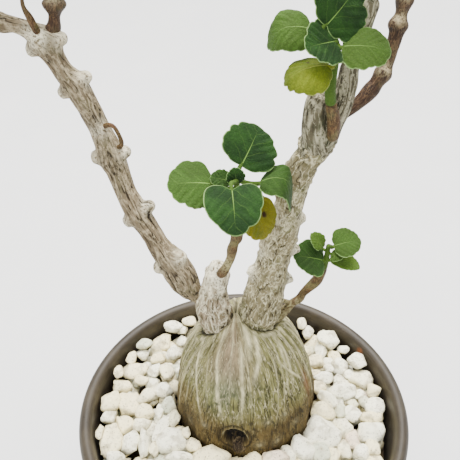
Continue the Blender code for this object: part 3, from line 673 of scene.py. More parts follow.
@dataclass(frozen=True)
class LeafFinish:
    """Thick velvety leaf: a pale midrib, faint laterals from the leaf's own coordinates, and a pale hairy margin that
    is partly painted sheen.
    """

    name: str
    deep: Colour
    bright: Colour
    young: Colour
    vein: Colour
    rim_sheen: Colour
    under: Colour
    old: Colour = paint(112, 104, 18)
    spot: Colour = paint(42, 26, 10)
    laterals: float = 4.0

    def material(self) -> bpy.types.Material:
        """The leaf's material, which also dresses its stalk, where the blade value is 0."""
        graph = Graph(self.name)
        split = graph.node("ShaderNodeSeparateXYZ")
        graph.feed(split.inputs[0], graph.named("leaf"))
        along = split.outputs["X"]
        side = graph.math("ABSOLUTE", split.outputs["Y"])
        wobble = graph.math("MULTIPLY", graph.math("SUBTRACT", graph.grain(graph.place, 4, 2), 0.5), 0.16)
        width = graph.math("MULTIPLY", graph.math("SUBTRACT", 1.1, along), 0.019)
        middle = graph.math("DIVIDE", side, graph.math("MAXIMUM", width, 0.007))
        fade = graph.math("MULTIPLY", graph.between(along, 0.95, 0.25), 0.9)
        midrib = graph.math("MULTIPLY", graph.between(middle, 1.6, 0.7), fade)
        swept = graph.math("SUBTRACT", graph.math("ADD", along, wobble), graph.math("MULTIPLY", side, 0.55))
        turned = graph.math("ADD", graph.math("MULTIPLY", swept, self.laterals), split.outputs["Z"])
        across = graph.math("ABSOLUTE", graph.math("SUBTRACT", graph.math("FRACT", turned), 0.5))
        lateral = graph.math("MULTIPLY", graph.between(across, 0.050, 0.012), graph.between(side, 0.80, 0.20))
        lateral = graph.math("MULTIPLY", lateral, graph.between(along, 0.02, 0.10))
        veins = graph.math("MAXIMUM", midrib, graph.math("MULTIPLY", lateral, 0.13))
        veins = graph.math("MULTIPLY", veins, graph.level("blade"))
        cloud = graph.grain(graph.place, 6, 3)
        mesh = graph.cells(graph.place, 0.9, "DISTANCE_TO_EDGE")
        fine = graph.grain(graph.place, 0.4, 3, 0.7)
        colour = graph.blend(graph.between(cloud, 0.36, 0.66), self.deep, self.bright)
        edge = graph.math("MULTIPLY", graph.between(side, 0.55, 1.0), 0.35)
        colour = graph.blend(edge, colour, self.bright)
        colour = graph.blend(graph.level("young"), colour, self.young)
        aged = graph.math("MULTIPLY", graph.level("age"), graph.between(cloud, 0.15, 0.5))
        colour = graph.blend(aged, colour, self.old)
        colour = graph.blend(graph.level("under"), colour, self.under)
        colour = graph.shaded(colour, graph.between(mesh, 0.0, 0.25), 0.88, 1.04)
        colour = graph.blend(veins, colour, self.vein)
        colour = graph.shaded(colour, fine, 0.74, 1.26)
        # The margin's pale hairs, partly painted sheen where light catches them.
        colour = graph.blend(graph.math("MULTIPLY", graph.level("rim_sheen"), 0.9), colour, self.rim_sheen)
        colour = graph.blend(graph.level("spot"), colour, self.spot)
        height = graph.math("SUBTRACT", graph.math("MULTIPLY", graph.between(mesh, 0.0, 0.3), 0.35), veins)
        normal = graph.bumped(height, 0.16)
        normal = graph.bumped(fine, 0.10, normal)
        return graph.finish(
            colour, 0.75, normal, Specular_IOR_Level=0.10, Sheen_Weight=0.04, Sheen_Roughness=0.5,
            Sheen_Tint=(0.7, 0.9, 0.6), Subsurface_Weight=0.04, Subsurface_Radius=(0.4, 1.0, 0.2),
            Subsurface_Scale=0.001,
        )


WARTY_BARK = BarkFinish(
    "bark_warty", base=paint(120, 110, 80), pale=paint(196, 188, 152), dark=paint(42, 34, 21),
    shade=paint(96, 88, 62), moss=paint(96, 102, 64), moss_amount=0.4, net_mm=3.0, stretch=0.45, relief_mm=0.4,
)
CRACKED_BARK = BarkFinish(
    "bark_cracked", base=paint(108, 95, 73), pale=paint(150, 137, 110), dark=paint(30, 23, 14),
    shade=paint(84, 73, 55), moss=paint(92, 92, 62), moss_amount=0.3, stretch=0.2, net_amount=0.7, relief_mm=0.35,
)
STUB_BARK = BarkFinish(
    "bark_stub", base=paint(138, 122, 98), pale=paint(212, 202, 172), dark=paint(42, 34, 22),
    shade=paint(116, 104, 80), moss=paint(108, 108, 76), moss_amount=0.25, stretch=0.3, relief_mm=0.4,
)
LIMB_BARK = BarkFinish(
    "bark_limb", base=paint(84, 78, 60), pale=paint(156, 150, 124), dark=paint(32, 28, 19),
    shade=paint(62, 57, 42), moss=paint(68, 80, 50), moss_amount=0.4, net_mm=2.2, stretch=0.12, relief_mm=0.3,
)
BROWN_BARK = BarkFinish(
    "bark_brown", base=paint(54, 37, 24), pale=paint(106, 82, 56), dark=paint(20, 13, 8),
    shade=paint(42, 29, 18), crust=paint(150, 138, 104), moss_amount=0.08, net_mm=1.6, stretch=0.3,
    net_amount=0.45, crack_amount=0.5, relief_mm=0.15, rough=0.62,
)
TWIG_BARK = BarkFinish(
    "bark_twig", base=paint(66, 44, 25), pale=paint(118, 94, 60), dark=paint(22, 15, 8),
    shade=paint(74, 60, 36), crust=paint(146, 138, 98), moss_amount=0.3, net_mm=1.4, stretch=0.4,
    net_amount=0.5, crack_amount=0.5, relief_mm=0.15, rough=0.65,
)
ROOT_BARK = BarkFinish(
    "bark_root", base=paint(50, 39, 27), pale=paint(96, 82, 58), dark=paint(14, 10, 6),
    shade=paint(34, 26, 17), moss_amount=0.1, net_mm=1.4, stretch=0.5, relief_mm=0.4,
)
GREEN_LEAF = LeafFinish(
    "leaf_green", deep=paint(16, 37, 10), bright=paint(28, 54, 16), young=paint(74, 98, 30),
    vein=paint(96, 126, 56), rim_sheen=paint(116, 142, 84), under=paint(66, 90, 44),
)
YELLOW_LEAF = LeafFinish(
    "leaf_yellow", deep=paint(68, 80, 12), bright=paint(90, 100, 18), young=paint(108, 112, 26),
    vein=paint(116, 122, 44), rim_sheen=paint(120, 124, 60), under=paint(96, 100, 34), old=paint(112, 100, 18),
)


# Pot


@dataclass
class Pot:
    """The stoneware pot, turned from one closed profile, with three drainage notches in its foot."""

    height: float = 80 * MM
    radius: float = 60 * MM
    lip: float = 4.6 * MM
    foot: float = 45 * MM
    foot_width: float = 6 * MM
    foot_height: float = 3 * MM
    floor_top: float = 8 * MM
    drain: float = 7 * MM
    inner_low: float = 14 * MM
    inner_high: float = 73 * MM
    notch_width: float = 8 * MM
    notches: tuple[float, ...] = (90, 210, 330)
    columns: int = 200
    finish: StonewareFinish = StonewareFinish()

    def inner_radius(self, height: float | np.ndarray) -> float | np.ndarray:
        """The inside radius at a height: a straight line between two heights."""
        share = (height - self.inner_low) / (self.inner_high - self.inner_low)
        low = self.foot - 1 * MM
        return low + share * (self.radius - self.lip - 1.2 * MM - low)

    def profile(self) -> np.ndarray:
        """Radius and height round the wall, from the lip's crest down the outside and up the inside.

        Corner points are cut three times: each side is replaced by the points at a quarter and
        three quarters of it, which rounds every corner.
        """
        top, r, foot = self.height, self.radius, self.foot
        points = np.array((
            (r - 2.8 * MM, top + 0.25 * MM), (r - 1.0 * MM, top - 0.4 * MM), (r, top - 2.2 * MM),
            (r + 0.05 * MM, top - 4.2 * MM), (r - 0.6 * MM, top - 7.5 * MM), (r - 1.6 * MM, top - 12 * MM),
            (r - 4 * MM, top - 30 * MM), (foot + 6 * MM, 22 * MM), (foot + 2.6 * MM, 8 * MM),
            (foot + 0.8 * MM, 3 * MM), (foot, 0), (foot - self.foot_width, 0),
            (foot - self.foot_width - 1 * MM, self.foot_height), (self.drain + 1 * MM, self.foot_height),
            (self.drain, self.foot_height + 1 * MM), (self.drain, self.floor_top - 1 * MM),
            (self.drain + 1 * MM, self.floor_top), (foot - 5 * MM, self.floor_top),
            (self.inner_radius(self.inner_low), self.inner_low), (self.inner_radius(40 * MM), 40 * MM),
            (self.inner_radius(self.inner_high), self.inner_high), (r - self.lip - 0.5 * MM, top - 3 * MM),
            (r - self.lip, top - 0.8 * MM),
        ))
        for _ in range(3):
            after = np.roll(points, -1, axis=0)
            points = np.stack([0.75 * points + 0.25 * after, 0.25 * points + 0.75 * after], axis=1).reshape(-1, 2)
        scale = np.array((self.radius / points[:, 0].max(), self.height / points[:, 1].max()))
        return points * scale

    def build(self) -> None:
        """Turns the profile round the Z axis, rings it finely and raises the foot at the notches."""
        radius, height = self.profile().T[:, :, None]
        turn = np.arange(self.columns) / self.columns * TAU
        rings = noise(np.stack([radius * 0, height * 1, radius * 0.2], axis=-1)[:, 0], 1.6 * MM, 5)[:, None]
        outer = height > 12 * MM
        radius = radius + np.where(outer, 0.07 * MM * rings, 0)
        wide = np.broadcast_to(radius, (len(radius), self.columns))
        high = np.array(np.broadcast_to(height, wide.shape))
        half = self.notch_width / 2
        for angle in self.notches:
            away = np.abs(np.sin(turn - math.radians(angle))) * self.foot
            facing = np.cos(turn - math.radians(angle)) > 0
            share = np.where(facing, 1 - ease(half - 0.5 * MM, half + 0.5 * MM, away), 0)
            in_foot = (wide > 34 * MM) & (wide < 50 * MM) & (high < 2.25 * MM)
            high = np.where(in_foot, np.maximum(high, 2.25 * MM * share), high)
        grid = np.stack([wide * np.cos(turn), wide * np.sin(turn), high], axis=-1)
        hollow = (wide < self.inner_radius(high) + 0.9 * MM) & (high > self.floor_top - 1 * MM)
        # How far down the inside a place is; the finish paints shade from it.
        inside = np.where(hollow, ease(0, 14 * MM, self.height - 2.2 * MM - high), 0)
        add_piece("stoneware_pot", ring_surface(grid, {"inside": inside}), self.finish.material(), ("pot",))


# Top dressing


@dataclass
class Gravel:
    """The pumice: large stones heaped against the caudex, small ones between, and a dark bed underneath that paints the
    shade in the gaps.
    """

    pot: "Pot"
    axis: tuple[float, float] = (0.25 * MM, 8.9 * MM)
    wall_ring: float = 49.2 * MM
    caudex_rings: tuple[float, ...] = (29.2 * MM, 37.4 * MM, 45.6 * MM, 53.8 * MM)
    spacing: float = 9.0 * MM
    apart: float = 6.6 * MM
    radii: tuple[float, float] = (4.9 * MM, 6.0 * MM)
    jitter: float = 0.9 * MM
    top: float = 74 * MM
    mound: float = 4.5 * MM
    mound_reach: float = 18 * MM
    bed_top: float = 69.5 * MM
    bed_low: float = 59.4 * MM
    root_hole: float = 9 * MM
    caudex_radius: float = 25.2 * MM
    caudex_middle: float = 72.8 * MM
    caudex_above: float = 47.8 * MM
    caudex_below: float = 10.5 * MM
    wall_gap: float = 0.5 * MM
    seed: int = 11
    small: int = 520
    sides: int = 12
    eye: Point = (-5.0, -178.0, 321.0)
    eye_tilt: float = 41.0
    eye_reach: float = 800.0
    seen: tuple[tuple[float, ...], ...] = (
        (162, 344, 24, 16, 35), (143, 344, 16, 9, 5), (172, 327, 17, 11, 10), (190, 321, 14, 9, 10),
        (182, 329, 11, 11, 0), (131, 358, 11, 12, 0), (143, 355, 12, 13, 0), (132, 370, 25, 16, 15),
        (118, 372, 10, 13, 0), (173, 354, 15, 15, 0), (157, 360, 13, 10, 0), (155, 370, 14, 13, 0),
        (167, 372, 14, 16, 0), (122, 387, 21, 13, 5), (142, 380, 12, 9, 0), (164, 391, 16, 15, 0),
        (150, 396, 13, 20, -55), (169, 405, 15, 15, 0), (109, 402, 20, 14, 55), (129, 405, 25, 22, 35),
        (146, 413, 17, 15, 0), (160, 412, 9, 14, 0), (109, 416, 14, 15, 0), (125, 425, 15, 15, 0),
        (141, 425, 18, 12, 0), (163, 428, 10, 27, -35), (176, 418, 10, 15, 0), (111, 441, 18, 30, 0),
        (100, 432, 7, 12, 0), (130, 443, 17, 19, 0), (145, 444, 12, 28, 0), (173, 441, 28, 24, 0),
        (187, 432, 7, 11, 0), (194, 446, 12, 13, 0), (115, 458, 16, 12, 0), (179, 458, 26, 9, 0),
        (155, 449, 10, 12, 0), (213, 450, 35, 24, 5), (250, 455, 17, 14, 0), (274, 456, 23, 14, 0),
        (330, 339, 21, 20, 0), (309, 331, 12, 14, 0), (302, 322, 9, 12, 0), (321, 351, 13, 16, 0),
        (334, 357, 14, 14, 0), (343, 349, 12, 8, 0), (339, 366, 16, 16, 0), (358, 361, 19, 12, -30),
        (316, 361, 16, 14, 0), (329, 369, 9, 9, 0), (315, 374, 12, 8, 0), (350, 375, 11, 10, 0),
        (362, 379, 20, 20, 0), (324, 379, 19, 11, 0), (339, 379, 11, 10, 0), (374, 391, 15, 12, 0),
        (343, 393, 28, 18, 0), (318, 387, 14, 12, 0), (359, 395, 10, 8, 0), (327, 398, 13, 20, 35),
        (365, 402, 10, 12, 0), (377, 406, 16, 17, 0), (353, 405, 12, 9, 0), (320, 411, 21, 16, -10),
        (339, 410, 13, 13, 0), (351, 415, 19, 14, 0), (371, 418, 23, 13, 0), (321, 433, 31, 27, 0),
        (342, 428, 17, 17, 0), (370, 433, 28, 19, 0), (351, 439, 16, 16, 0), (302, 449, 20, 22, 0),
        (320, 453, 19, 18, 0), (334, 456, 12, 14, 0), (344, 450, 12, 16, 0), (361, 454, 15, 14, 0),
        (373, 448, 11, 15, 0),
    )
    finish: PumiceFinish = PumiceFinish()

    def spots(self, rng: np.random.Generator) -> list[tuple[float, float]]:
        """Spots in a ring at the wall, then in rings round the caudex where there is still room."""
        spots = []
        circles = [(self.wall_ring, 0), *((ring, 1) for ring in self.caudex_rings)]
        for number, (ring, moved) in enumerate(circles):
            count = round(TAU * ring / self.spacing)
            for i in range(count):
                angle = TAU * (i + 0.5 * (number % 2)) / count
                x, y = rng.uniform(-self.jitter, self.jitter, 2)
                x += self.axis[0] * moved + ring * math.cos(angle)
                y += self.axis[1] * moved + ring * math.sin(angle)
                inside = not moved or math.hypot(x, y) < self.wall_ring
                if inside and all(math.dist((x, y), spot) > self.apart for spot in spots):
                    spots.append((x, y))
        return spots

    def heap(self, x: np.ndarray, y: np.ndarray) -> np.ndarray:
        """How much higher the pumice lies at a place, for being near the caudex."""
        away = np.hypot(x - self.axis[0], y - self.axis[1]) - self.caudex_radius
        return self.mound * np.maximum(1 - away / self.mound_reach, 0)

    def places(self) -> tuple[np.ndarray, np.ndarray, np.ndarray]:
        """Centres, half sizes and turns of the large stones, drawn in the same order as the solids'.

        Returns:
            Centres, stretched radii by axis, and turns about Z and X in radians.
        """
        rng = np.random.default_rng(self.seed)
        centres, radii = [], []
        for x, y in self.spots(rng):
            radius = rng.uniform(*self.radii)
            z = self.top + float(self.heap(x, y)) - rng.uniform(0.75, 1.05) * radius
            centres.append((x, y, z))
            radii.append(radius)
        sizes, turns = [], []
        for radius in radii:
            stretch = (*rng.uniform(0.84, 1.04, 2), rng.uniform(0.76, 0.94))
            turns.append((rng.uniform(0, TAU), rng.uniform(-0.6, 0.6)))
            rng.uniform(0.86, 1.10, 12)
            sizes.append(radius * np.array(stretch))
        return np.array(centres), np.array(sizes), np.array(turns)

    def seen_places(self) -> tuple[np.ndarray, np.ndarray, np.ndarray]:
        """The stones that show most, from where each lies on its sight line.

        A line of sight leaves the eye towards the picture's middle plus sideways and upward parts
        that are the place in the picture over the reach; the stone lies where the line comes down
        to the bed, or higher up on it where that would be inside the wall.

        Returns:
            Centres, half sizes by axis, and turns about Z and X in radians.
        """
        across, down, wide, tall, lean = np.array(self.seen, float).T
        tilt = math.radians(self.eye_tilt)
        right = (across - 230)[:, None] / self.eye_reach * np.array((1, 0, 0))
        upward = (230 - down)[:, None] / self.eye_reach * np.array((0, math.sin(tilt), math.cos(tilt)))
        sight = right + upward + np.array((0, math.cos(tilt), -math.sin(tilt)))
        eye = millimetres(self.eye)
        reach = np.linalg.norm(eye - np.array((0, 0, self.top)))
        half_wide = 1.06 * wide / 2 / self.eye_reach * reach
        half_tall = 1.06 * tall / 2 / self.eye_reach * reach / 0.88
        size = 0.5 * (half_wide + half_tall)
        place = np.zeros((len(across), 3))
        level = np.full(len(across), self.top)
        for step in range(14):
            place = eye + sight * ((level - eye[2]) / sight[:, 2])[:, None]
            bed = self.top + self.heap(place[:, 0], place[:, 1]) - 0.35 * size
            room = self.pot.inner_radius(level) - self.wall_gap - 0.85 * size - np.hypot(place[:, 0], place[:, 1])
            level = np.where((step > 3) & (room < 0), level + 0.6 * MM, np.where(step <= 3, bed, level))
        sizes = np.stack([half_wide, half_tall, 0.75 * size], axis=-1)
        return place, sizes, np.stack([np.radians(lean), 0 * lean], axis=-1)

    def stones(
        self, centres: np.ndarray, sizes: np.ndarray, turns: np.ndarray, rows: int, columns: int, seed: int
    ) -> Patch:
        """Broken stones with worn edges, all worked out at once.

        A stone's radius in a direction d is the sum over its flat faces of (d.n / h) to the power
        p, where d.n is positive, raised to -1/p: a polyhedron whose edges round off as p falls.
        Noise dents and pits it, and its own stretch and turns give it its attitude.

        Args:
            centres: Where the stones lie.
            sizes: Half sizes by axis.
            turns: Turns about Z and X.
            rows: Points from pole to pole.
            columns: Points round each row.
            seed: Chooses the faces.

        Returns:
            One patch with every stone in it.
        """
        rng = np.random.default_rng(seed)
        count = len(centres)
        polar = (np.arange(rows) + 0.5) / rows * math.pi
        turn = np.arange(columns) / columns * TAU
        polar, turn = np.meshgrid(polar, turn, indexing="ij")
        toward = np.stack([np.sin(polar) * np.cos(turn), np.sin(polar) * np.sin(turn), np.cos(polar)], axis=-1)
        face = (np.arange(self.sides) + 0.5) / self.sides
        lean = np.arccos(1 - 2 * face)
        spiral = math.pi * (1 + 5**0.5) * np.arange(self.sides)
        normals = np.stack([np.sin(lean) * np.cos(spiral), np.sin(lean) * np.sin(spiral), np.cos(lean)], axis=-1)
        normals = unit(normals + rng.normal(0, 0.38, (count, self.sides, 3)))
        heights = rng.uniform(0.74, 1.04, (count, self.sides))
        power = rng.uniform(30, 90, (count, 1, 1))
        facing = np.einsum("rcx,nsx->nrcs", toward, normals) / heights[:, None, None]
        radius = np.sum(np.maximum(facing, 0) ** power[..., None], axis=-1) ** (-1 / power)
        own = toward + rng.uniform(0, 90, (count, 1, 1, 3))
        dents = fractal(own, 0.7, 3, seed)
        hole, chance = nearest_spot(own, 0.42, seed + 3)
        pit = np.exp(-((hole / 0.24) ** 2)) * (chance > 0.72)
        radius = np.minimum(radius, 1.20) * (1 + 0.11 * dents) - 0.10 * pit
        shape = toward * radius[..., None] * sizes[:, None, None]
        about_z, about_x = turns.T
        cos_x, sin_x = np.cos(about_x)[:, None, None], np.sin(about_x)[:, None, None]
        cos_z, sin_z = np.cos(about_z)[:, None, None], np.sin(about_z)[:, None, None]
        x, y, z = np.moveaxis(shape, -1, 0)
        y, z = y * cos_x - z * sin_x, y * sin_x + z * cos_x
        x, y = x * cos_z - y * sin_z, x * sin_z + y * cos_z
        points = self.kept_in(np.stack([x, y, z], axis=-1) + centres[:, None, None])
        tint = np.broadcast_to(rng.uniform(0, 1, (count, 1, 1)), points.shape[:3])
        # Painted shade: depth darkens a stone deep in the bed and on its lower side.
        below = points[..., 2] - self.heap(points[..., 0], points[..., 1])
        sunk = (points[..., 2] - points[..., 2].mean(axis=(1, 2))[:, None, None]) / sizes[:, None, None, 2]
        depth = np.maximum(0.9 * (1 - ease(64.5 * MM, 70 * MM, below)), 0.85 * (1 - ease(-0.70, 0.42, sunk)))
        values = {"tint": tint, "depth": depth, "hole": pit}
        return joined(
            closed_surface(points[n], {name: items[n] for name, items in values.items()}) for n in range(count)
        )

    def caudex_reach(self, height: np.ndarray) -> np.ndarray:
        """The caudex's radius at a height: a power curve above its middle, an ellipse below."""
        up = np.clip((height - self.caudex_middle) / self.caudex_above, 0, 1)
        down = np.clip((self.caudex_middle - height) / self.caudex_below, 0, 1)
        high = self.caudex_radius * (1 - up**2.17) ** (1 / 2.17)
        return np.where(height >= self.caudex_middle, high, self.caudex_radius * np.sqrt(1 - down**2))

    def kept_in(self, points: np.ndarray) -> np.ndarray:
        """Each stone moved sideways as a whole until it is clear of the caudex, then of the wall."""
        axis = np.array((*self.axis, 0))
        for _ in range(2):
            reach = np.hypot(points[..., 0] - axis[0], points[..., 1] - axis[1])
            inner = np.max(self.caudex_reach(points[..., 2]) + 0.3 * MM - reach, axis=(1, 2))
            out = unit((points.mean(axis=(1, 2)) - axis) * (1, 1, 0))
            points = points + (out * np.maximum(inner, 0)[:, None])[:, None, None]
            reach = np.hypot(points[..., 0], points[..., 1])
            outer = np.max(reach - (self.pot.inner_radius(points[..., 2]) - self.wall_gap), axis=(1, 2))
            out = unit(points.mean(axis=(1, 2)) * (1, 1, 0))
            points = points - (out * np.maximum(outer, 0)[:, None])[:, None, None]
        return points

    def small_places(self) -> tuple[np.ndarray, np.ndarray, np.ndarray]:
        """Small stones scattered evenly over the bed, most of them sunk between the large ones."""
        rng = np.random.default_rng(self.seed + 1)
        reach = np.sqrt(rng.uniform(0, (51 * MM) ** 2, self.small))
        angle = rng.uniform(0, TAU, self.small)
        x, y = reach * np.cos(angle), reach * np.sin(angle)
        size = rng.uniform(2.0 * MM, 3.9 * MM, self.small)
        z = self.top + self.heap(x, y) - 0.9 * size - rng.uniform(1.0 * MM, 4.5 * MM, self.small)
        clear = np.hypot(x - self.axis[0], y - self.axis[1]) > self.caudex_radius + 0.5 * size
        sizes = size[:, None] * rng.uniform(0.70, 1.25, (self.small, 3))
        turns = rng.uniform(-0.8, 6, (self.small, 2))
        return np.stack([x, y, z], axis=-1)[clear], sizes[clear], turns[clear]

    def bed(self) -> Patch:
        """The dark bed under the stones, painted shade for the gaps: an off-centre ring whose top rises to the caudex
        and is roughened.
        """
        steps = 140
        turn = np.arange(steps) / steps * TAU
        wall = self.pot.inner_radius(self.bed_top - 3 * MM) - self.wall_gap
        share = np.linspace(0, 1, 26)[:, None]
        x = (self.axis[0] + 23.5 * MM * np.cos(turn)) * (1 - share) + wall * np.cos(turn) * share
        y = (self.axis[1] + 23.5 * MM * np.sin(turn)) * (1 - share) + wall * np.sin(turn) * share
        z = self.bed_top - 4 * MM + 0.7 * self.heap(x, y)
        top = np.stack([x, y, z], axis=-1)
        top[..., 2] += fractal(top, 3.0 * MM, 3, 3) * 1.1 * MM
        low = self.pot.inner_radius(self.bed_low) - self.wall_gap
        rings = [
            (radius * np.cos(turn) + moved * self.axis[0], radius * np.sin(turn) + moved * self.axis[1])
            for radius, moved in ((low, 0), (self.root_hole, 1))
        ]
        under = [np.stack([x, y, 0 * turn + self.bed_low], axis=-1)[None] for x, y in rings]
        grid = np.concatenate([top, *under])
        full = np.ones(grid.shape[:2])
        # The whole bed takes the painted shade.
        return ring_surface(grid, {"tint": 0.5 * full, "depth": full, "hole": 0 * full})

    def build(self) -> None:
        """Large stones, small stones and the dark bed of painted shade, as one piece for the pumice bed."""
        centres, sizes, turns = self.places()
        vary = np.random.default_rng(self.seed + 2).uniform((0.78, 0.74, 0.74), (1.10, 0.98, 1.0), sizes.shape)
        seen, seen_sizes, seen_turns = self.seen_places()
        gap = np.linalg.norm((centres[:, None] - seen)[..., :2], axis=-1) - 0.55 * seen_sizes[:, :2].mean(axis=1)
        free = gap.min(axis=1) > 2.6 * MM
        large = self.stones(
            np.concatenate([seen, centres[free]]), np.concatenate([seen_sizes, (sizes * vary)[free]]),
            np.concatenate([seen_turns, turns[free]]), rows=17, columns=25, seed=5,
        )
        small = self.stones(*self.small_places(), rows=6, columns=8, seed=9)
        patch = joined([large, small, self.bed()])
        add_piece("pumice_stones", patch, self.finish.material(), ("pumice_bed",))


# Stems


class Bark(Enum):
    """How a stem's surface is roughened."""

    WARTY = "warty"
    CRACKED = "cracked"
    LUMPY = "lumpy"
    STREAKED = "streaked"
    SMOOTH = "smooth"
    GREEN = "green"


def relief(kind: Bark, q: np.ndarray, age: np.ndarray, seed: int) -> tuple[np.ndarray, np.ndarray, np.ndarray]:
    """How far a bark stands out, in millimetres, and how pale or pitted it is.

    Args:
        kind: The kind of bark.
        q: The stem's own coordinates in millimetres: round it in x and y, along it in z.
        age: 1 at the stem's foot, falling to 0 at its tip.
        seed: Chooses another pattern.

    Returns:
        The height in millimetres, the pale mask and the dark mask, both from 0 to 1.
    """
    ridged = 1 - np.abs(noise(q, (1.0, 1.0, 6.0), seed))
    zero = np.zeros(q.shape[:-1])
    if kind is Bark.WARTY:
        near, value = nearest_spot(q, 2.7, seed)
        wart = (1 - ease(0.12, 0.44, near)) * (value > 0.3) * (0.35 + 0.45 * value)
        hole, chance = nearest_spot(q, (2.3, 2.3, 3.0), seed + 9)
        pit = np.exp(-((hole / 0.17) ** 2)) * (chance > 0.55)
        scale = 1 - np.abs(noise(q, (1.0, 1.0, 1.7), seed + 3))
        ring = noise(q * (0.2, 0.2, 1), 1.7, seed + 4)
        height = 0.32 * fractal(q, 4.2, 2, seed) + wart + 0.16 * scale + 0.10 * ring - 0.55 * pit
        return height, np.clip(0.7 * wart + 0.5 * (scale - 0.6), 0, 1), pit
    if kind is Bark.CRACKED:
        line = np.abs(noise(q, (2.1, 2.1, 17.0), seed + 5))
        crack = (1 - ease(0.01, 0.06, line)) * ease(0.25, 0.75, age)
        bump = fractal(q, 4.5, 2, seed)
        return 0.22 * ridged + 0.22 * bump - 0.6 * crack, ease(0.75, 1.0, ridged), 0.9 * crack
    if kind is Bark.LUMPY:
        lump = fractal(q, (2.5, 2.5, 3.6), 3, seed)
        wrinkle = 1 - np.abs(noise(q, (1.3, 1.3, 4.5), seed + 2))
        near, value = nearest_spot(q, 3.1, seed)
        knob = (1 - ease(0.1, 0.5, near)) * value * 0.5
        pit = ease(0.60, 0.95, 1 - wrinkle)
        return 0.5 * lump + 0.35 * wrinkle + knob, ease(0.7, 1.0, wrinkle), 0.7 * pit
    if kind is Bark.STREAKED:
        line = np.abs(noise(q, (1.5, 1.5, 12.0), seed + 5))
        crack = 1 - ease(0.01, 0.06, line)
        return 0.20 * ridged + 0.2 * fractal(q, 5, 2, seed) - 0.25 * crack, ease(0.7, 1.0, ridged), 0.6 * crack
    if kind is Bark.SMOOTH:
        return 0.10 * fractal(q, (0.8, 0.8, 2.4), 2, seed) + 0.12 * noise(q, 3, seed + 1), zero, zero
    return 0.05 * fractal(q, (0.6, 0.6, 1.8), 2, seed), zero, zero


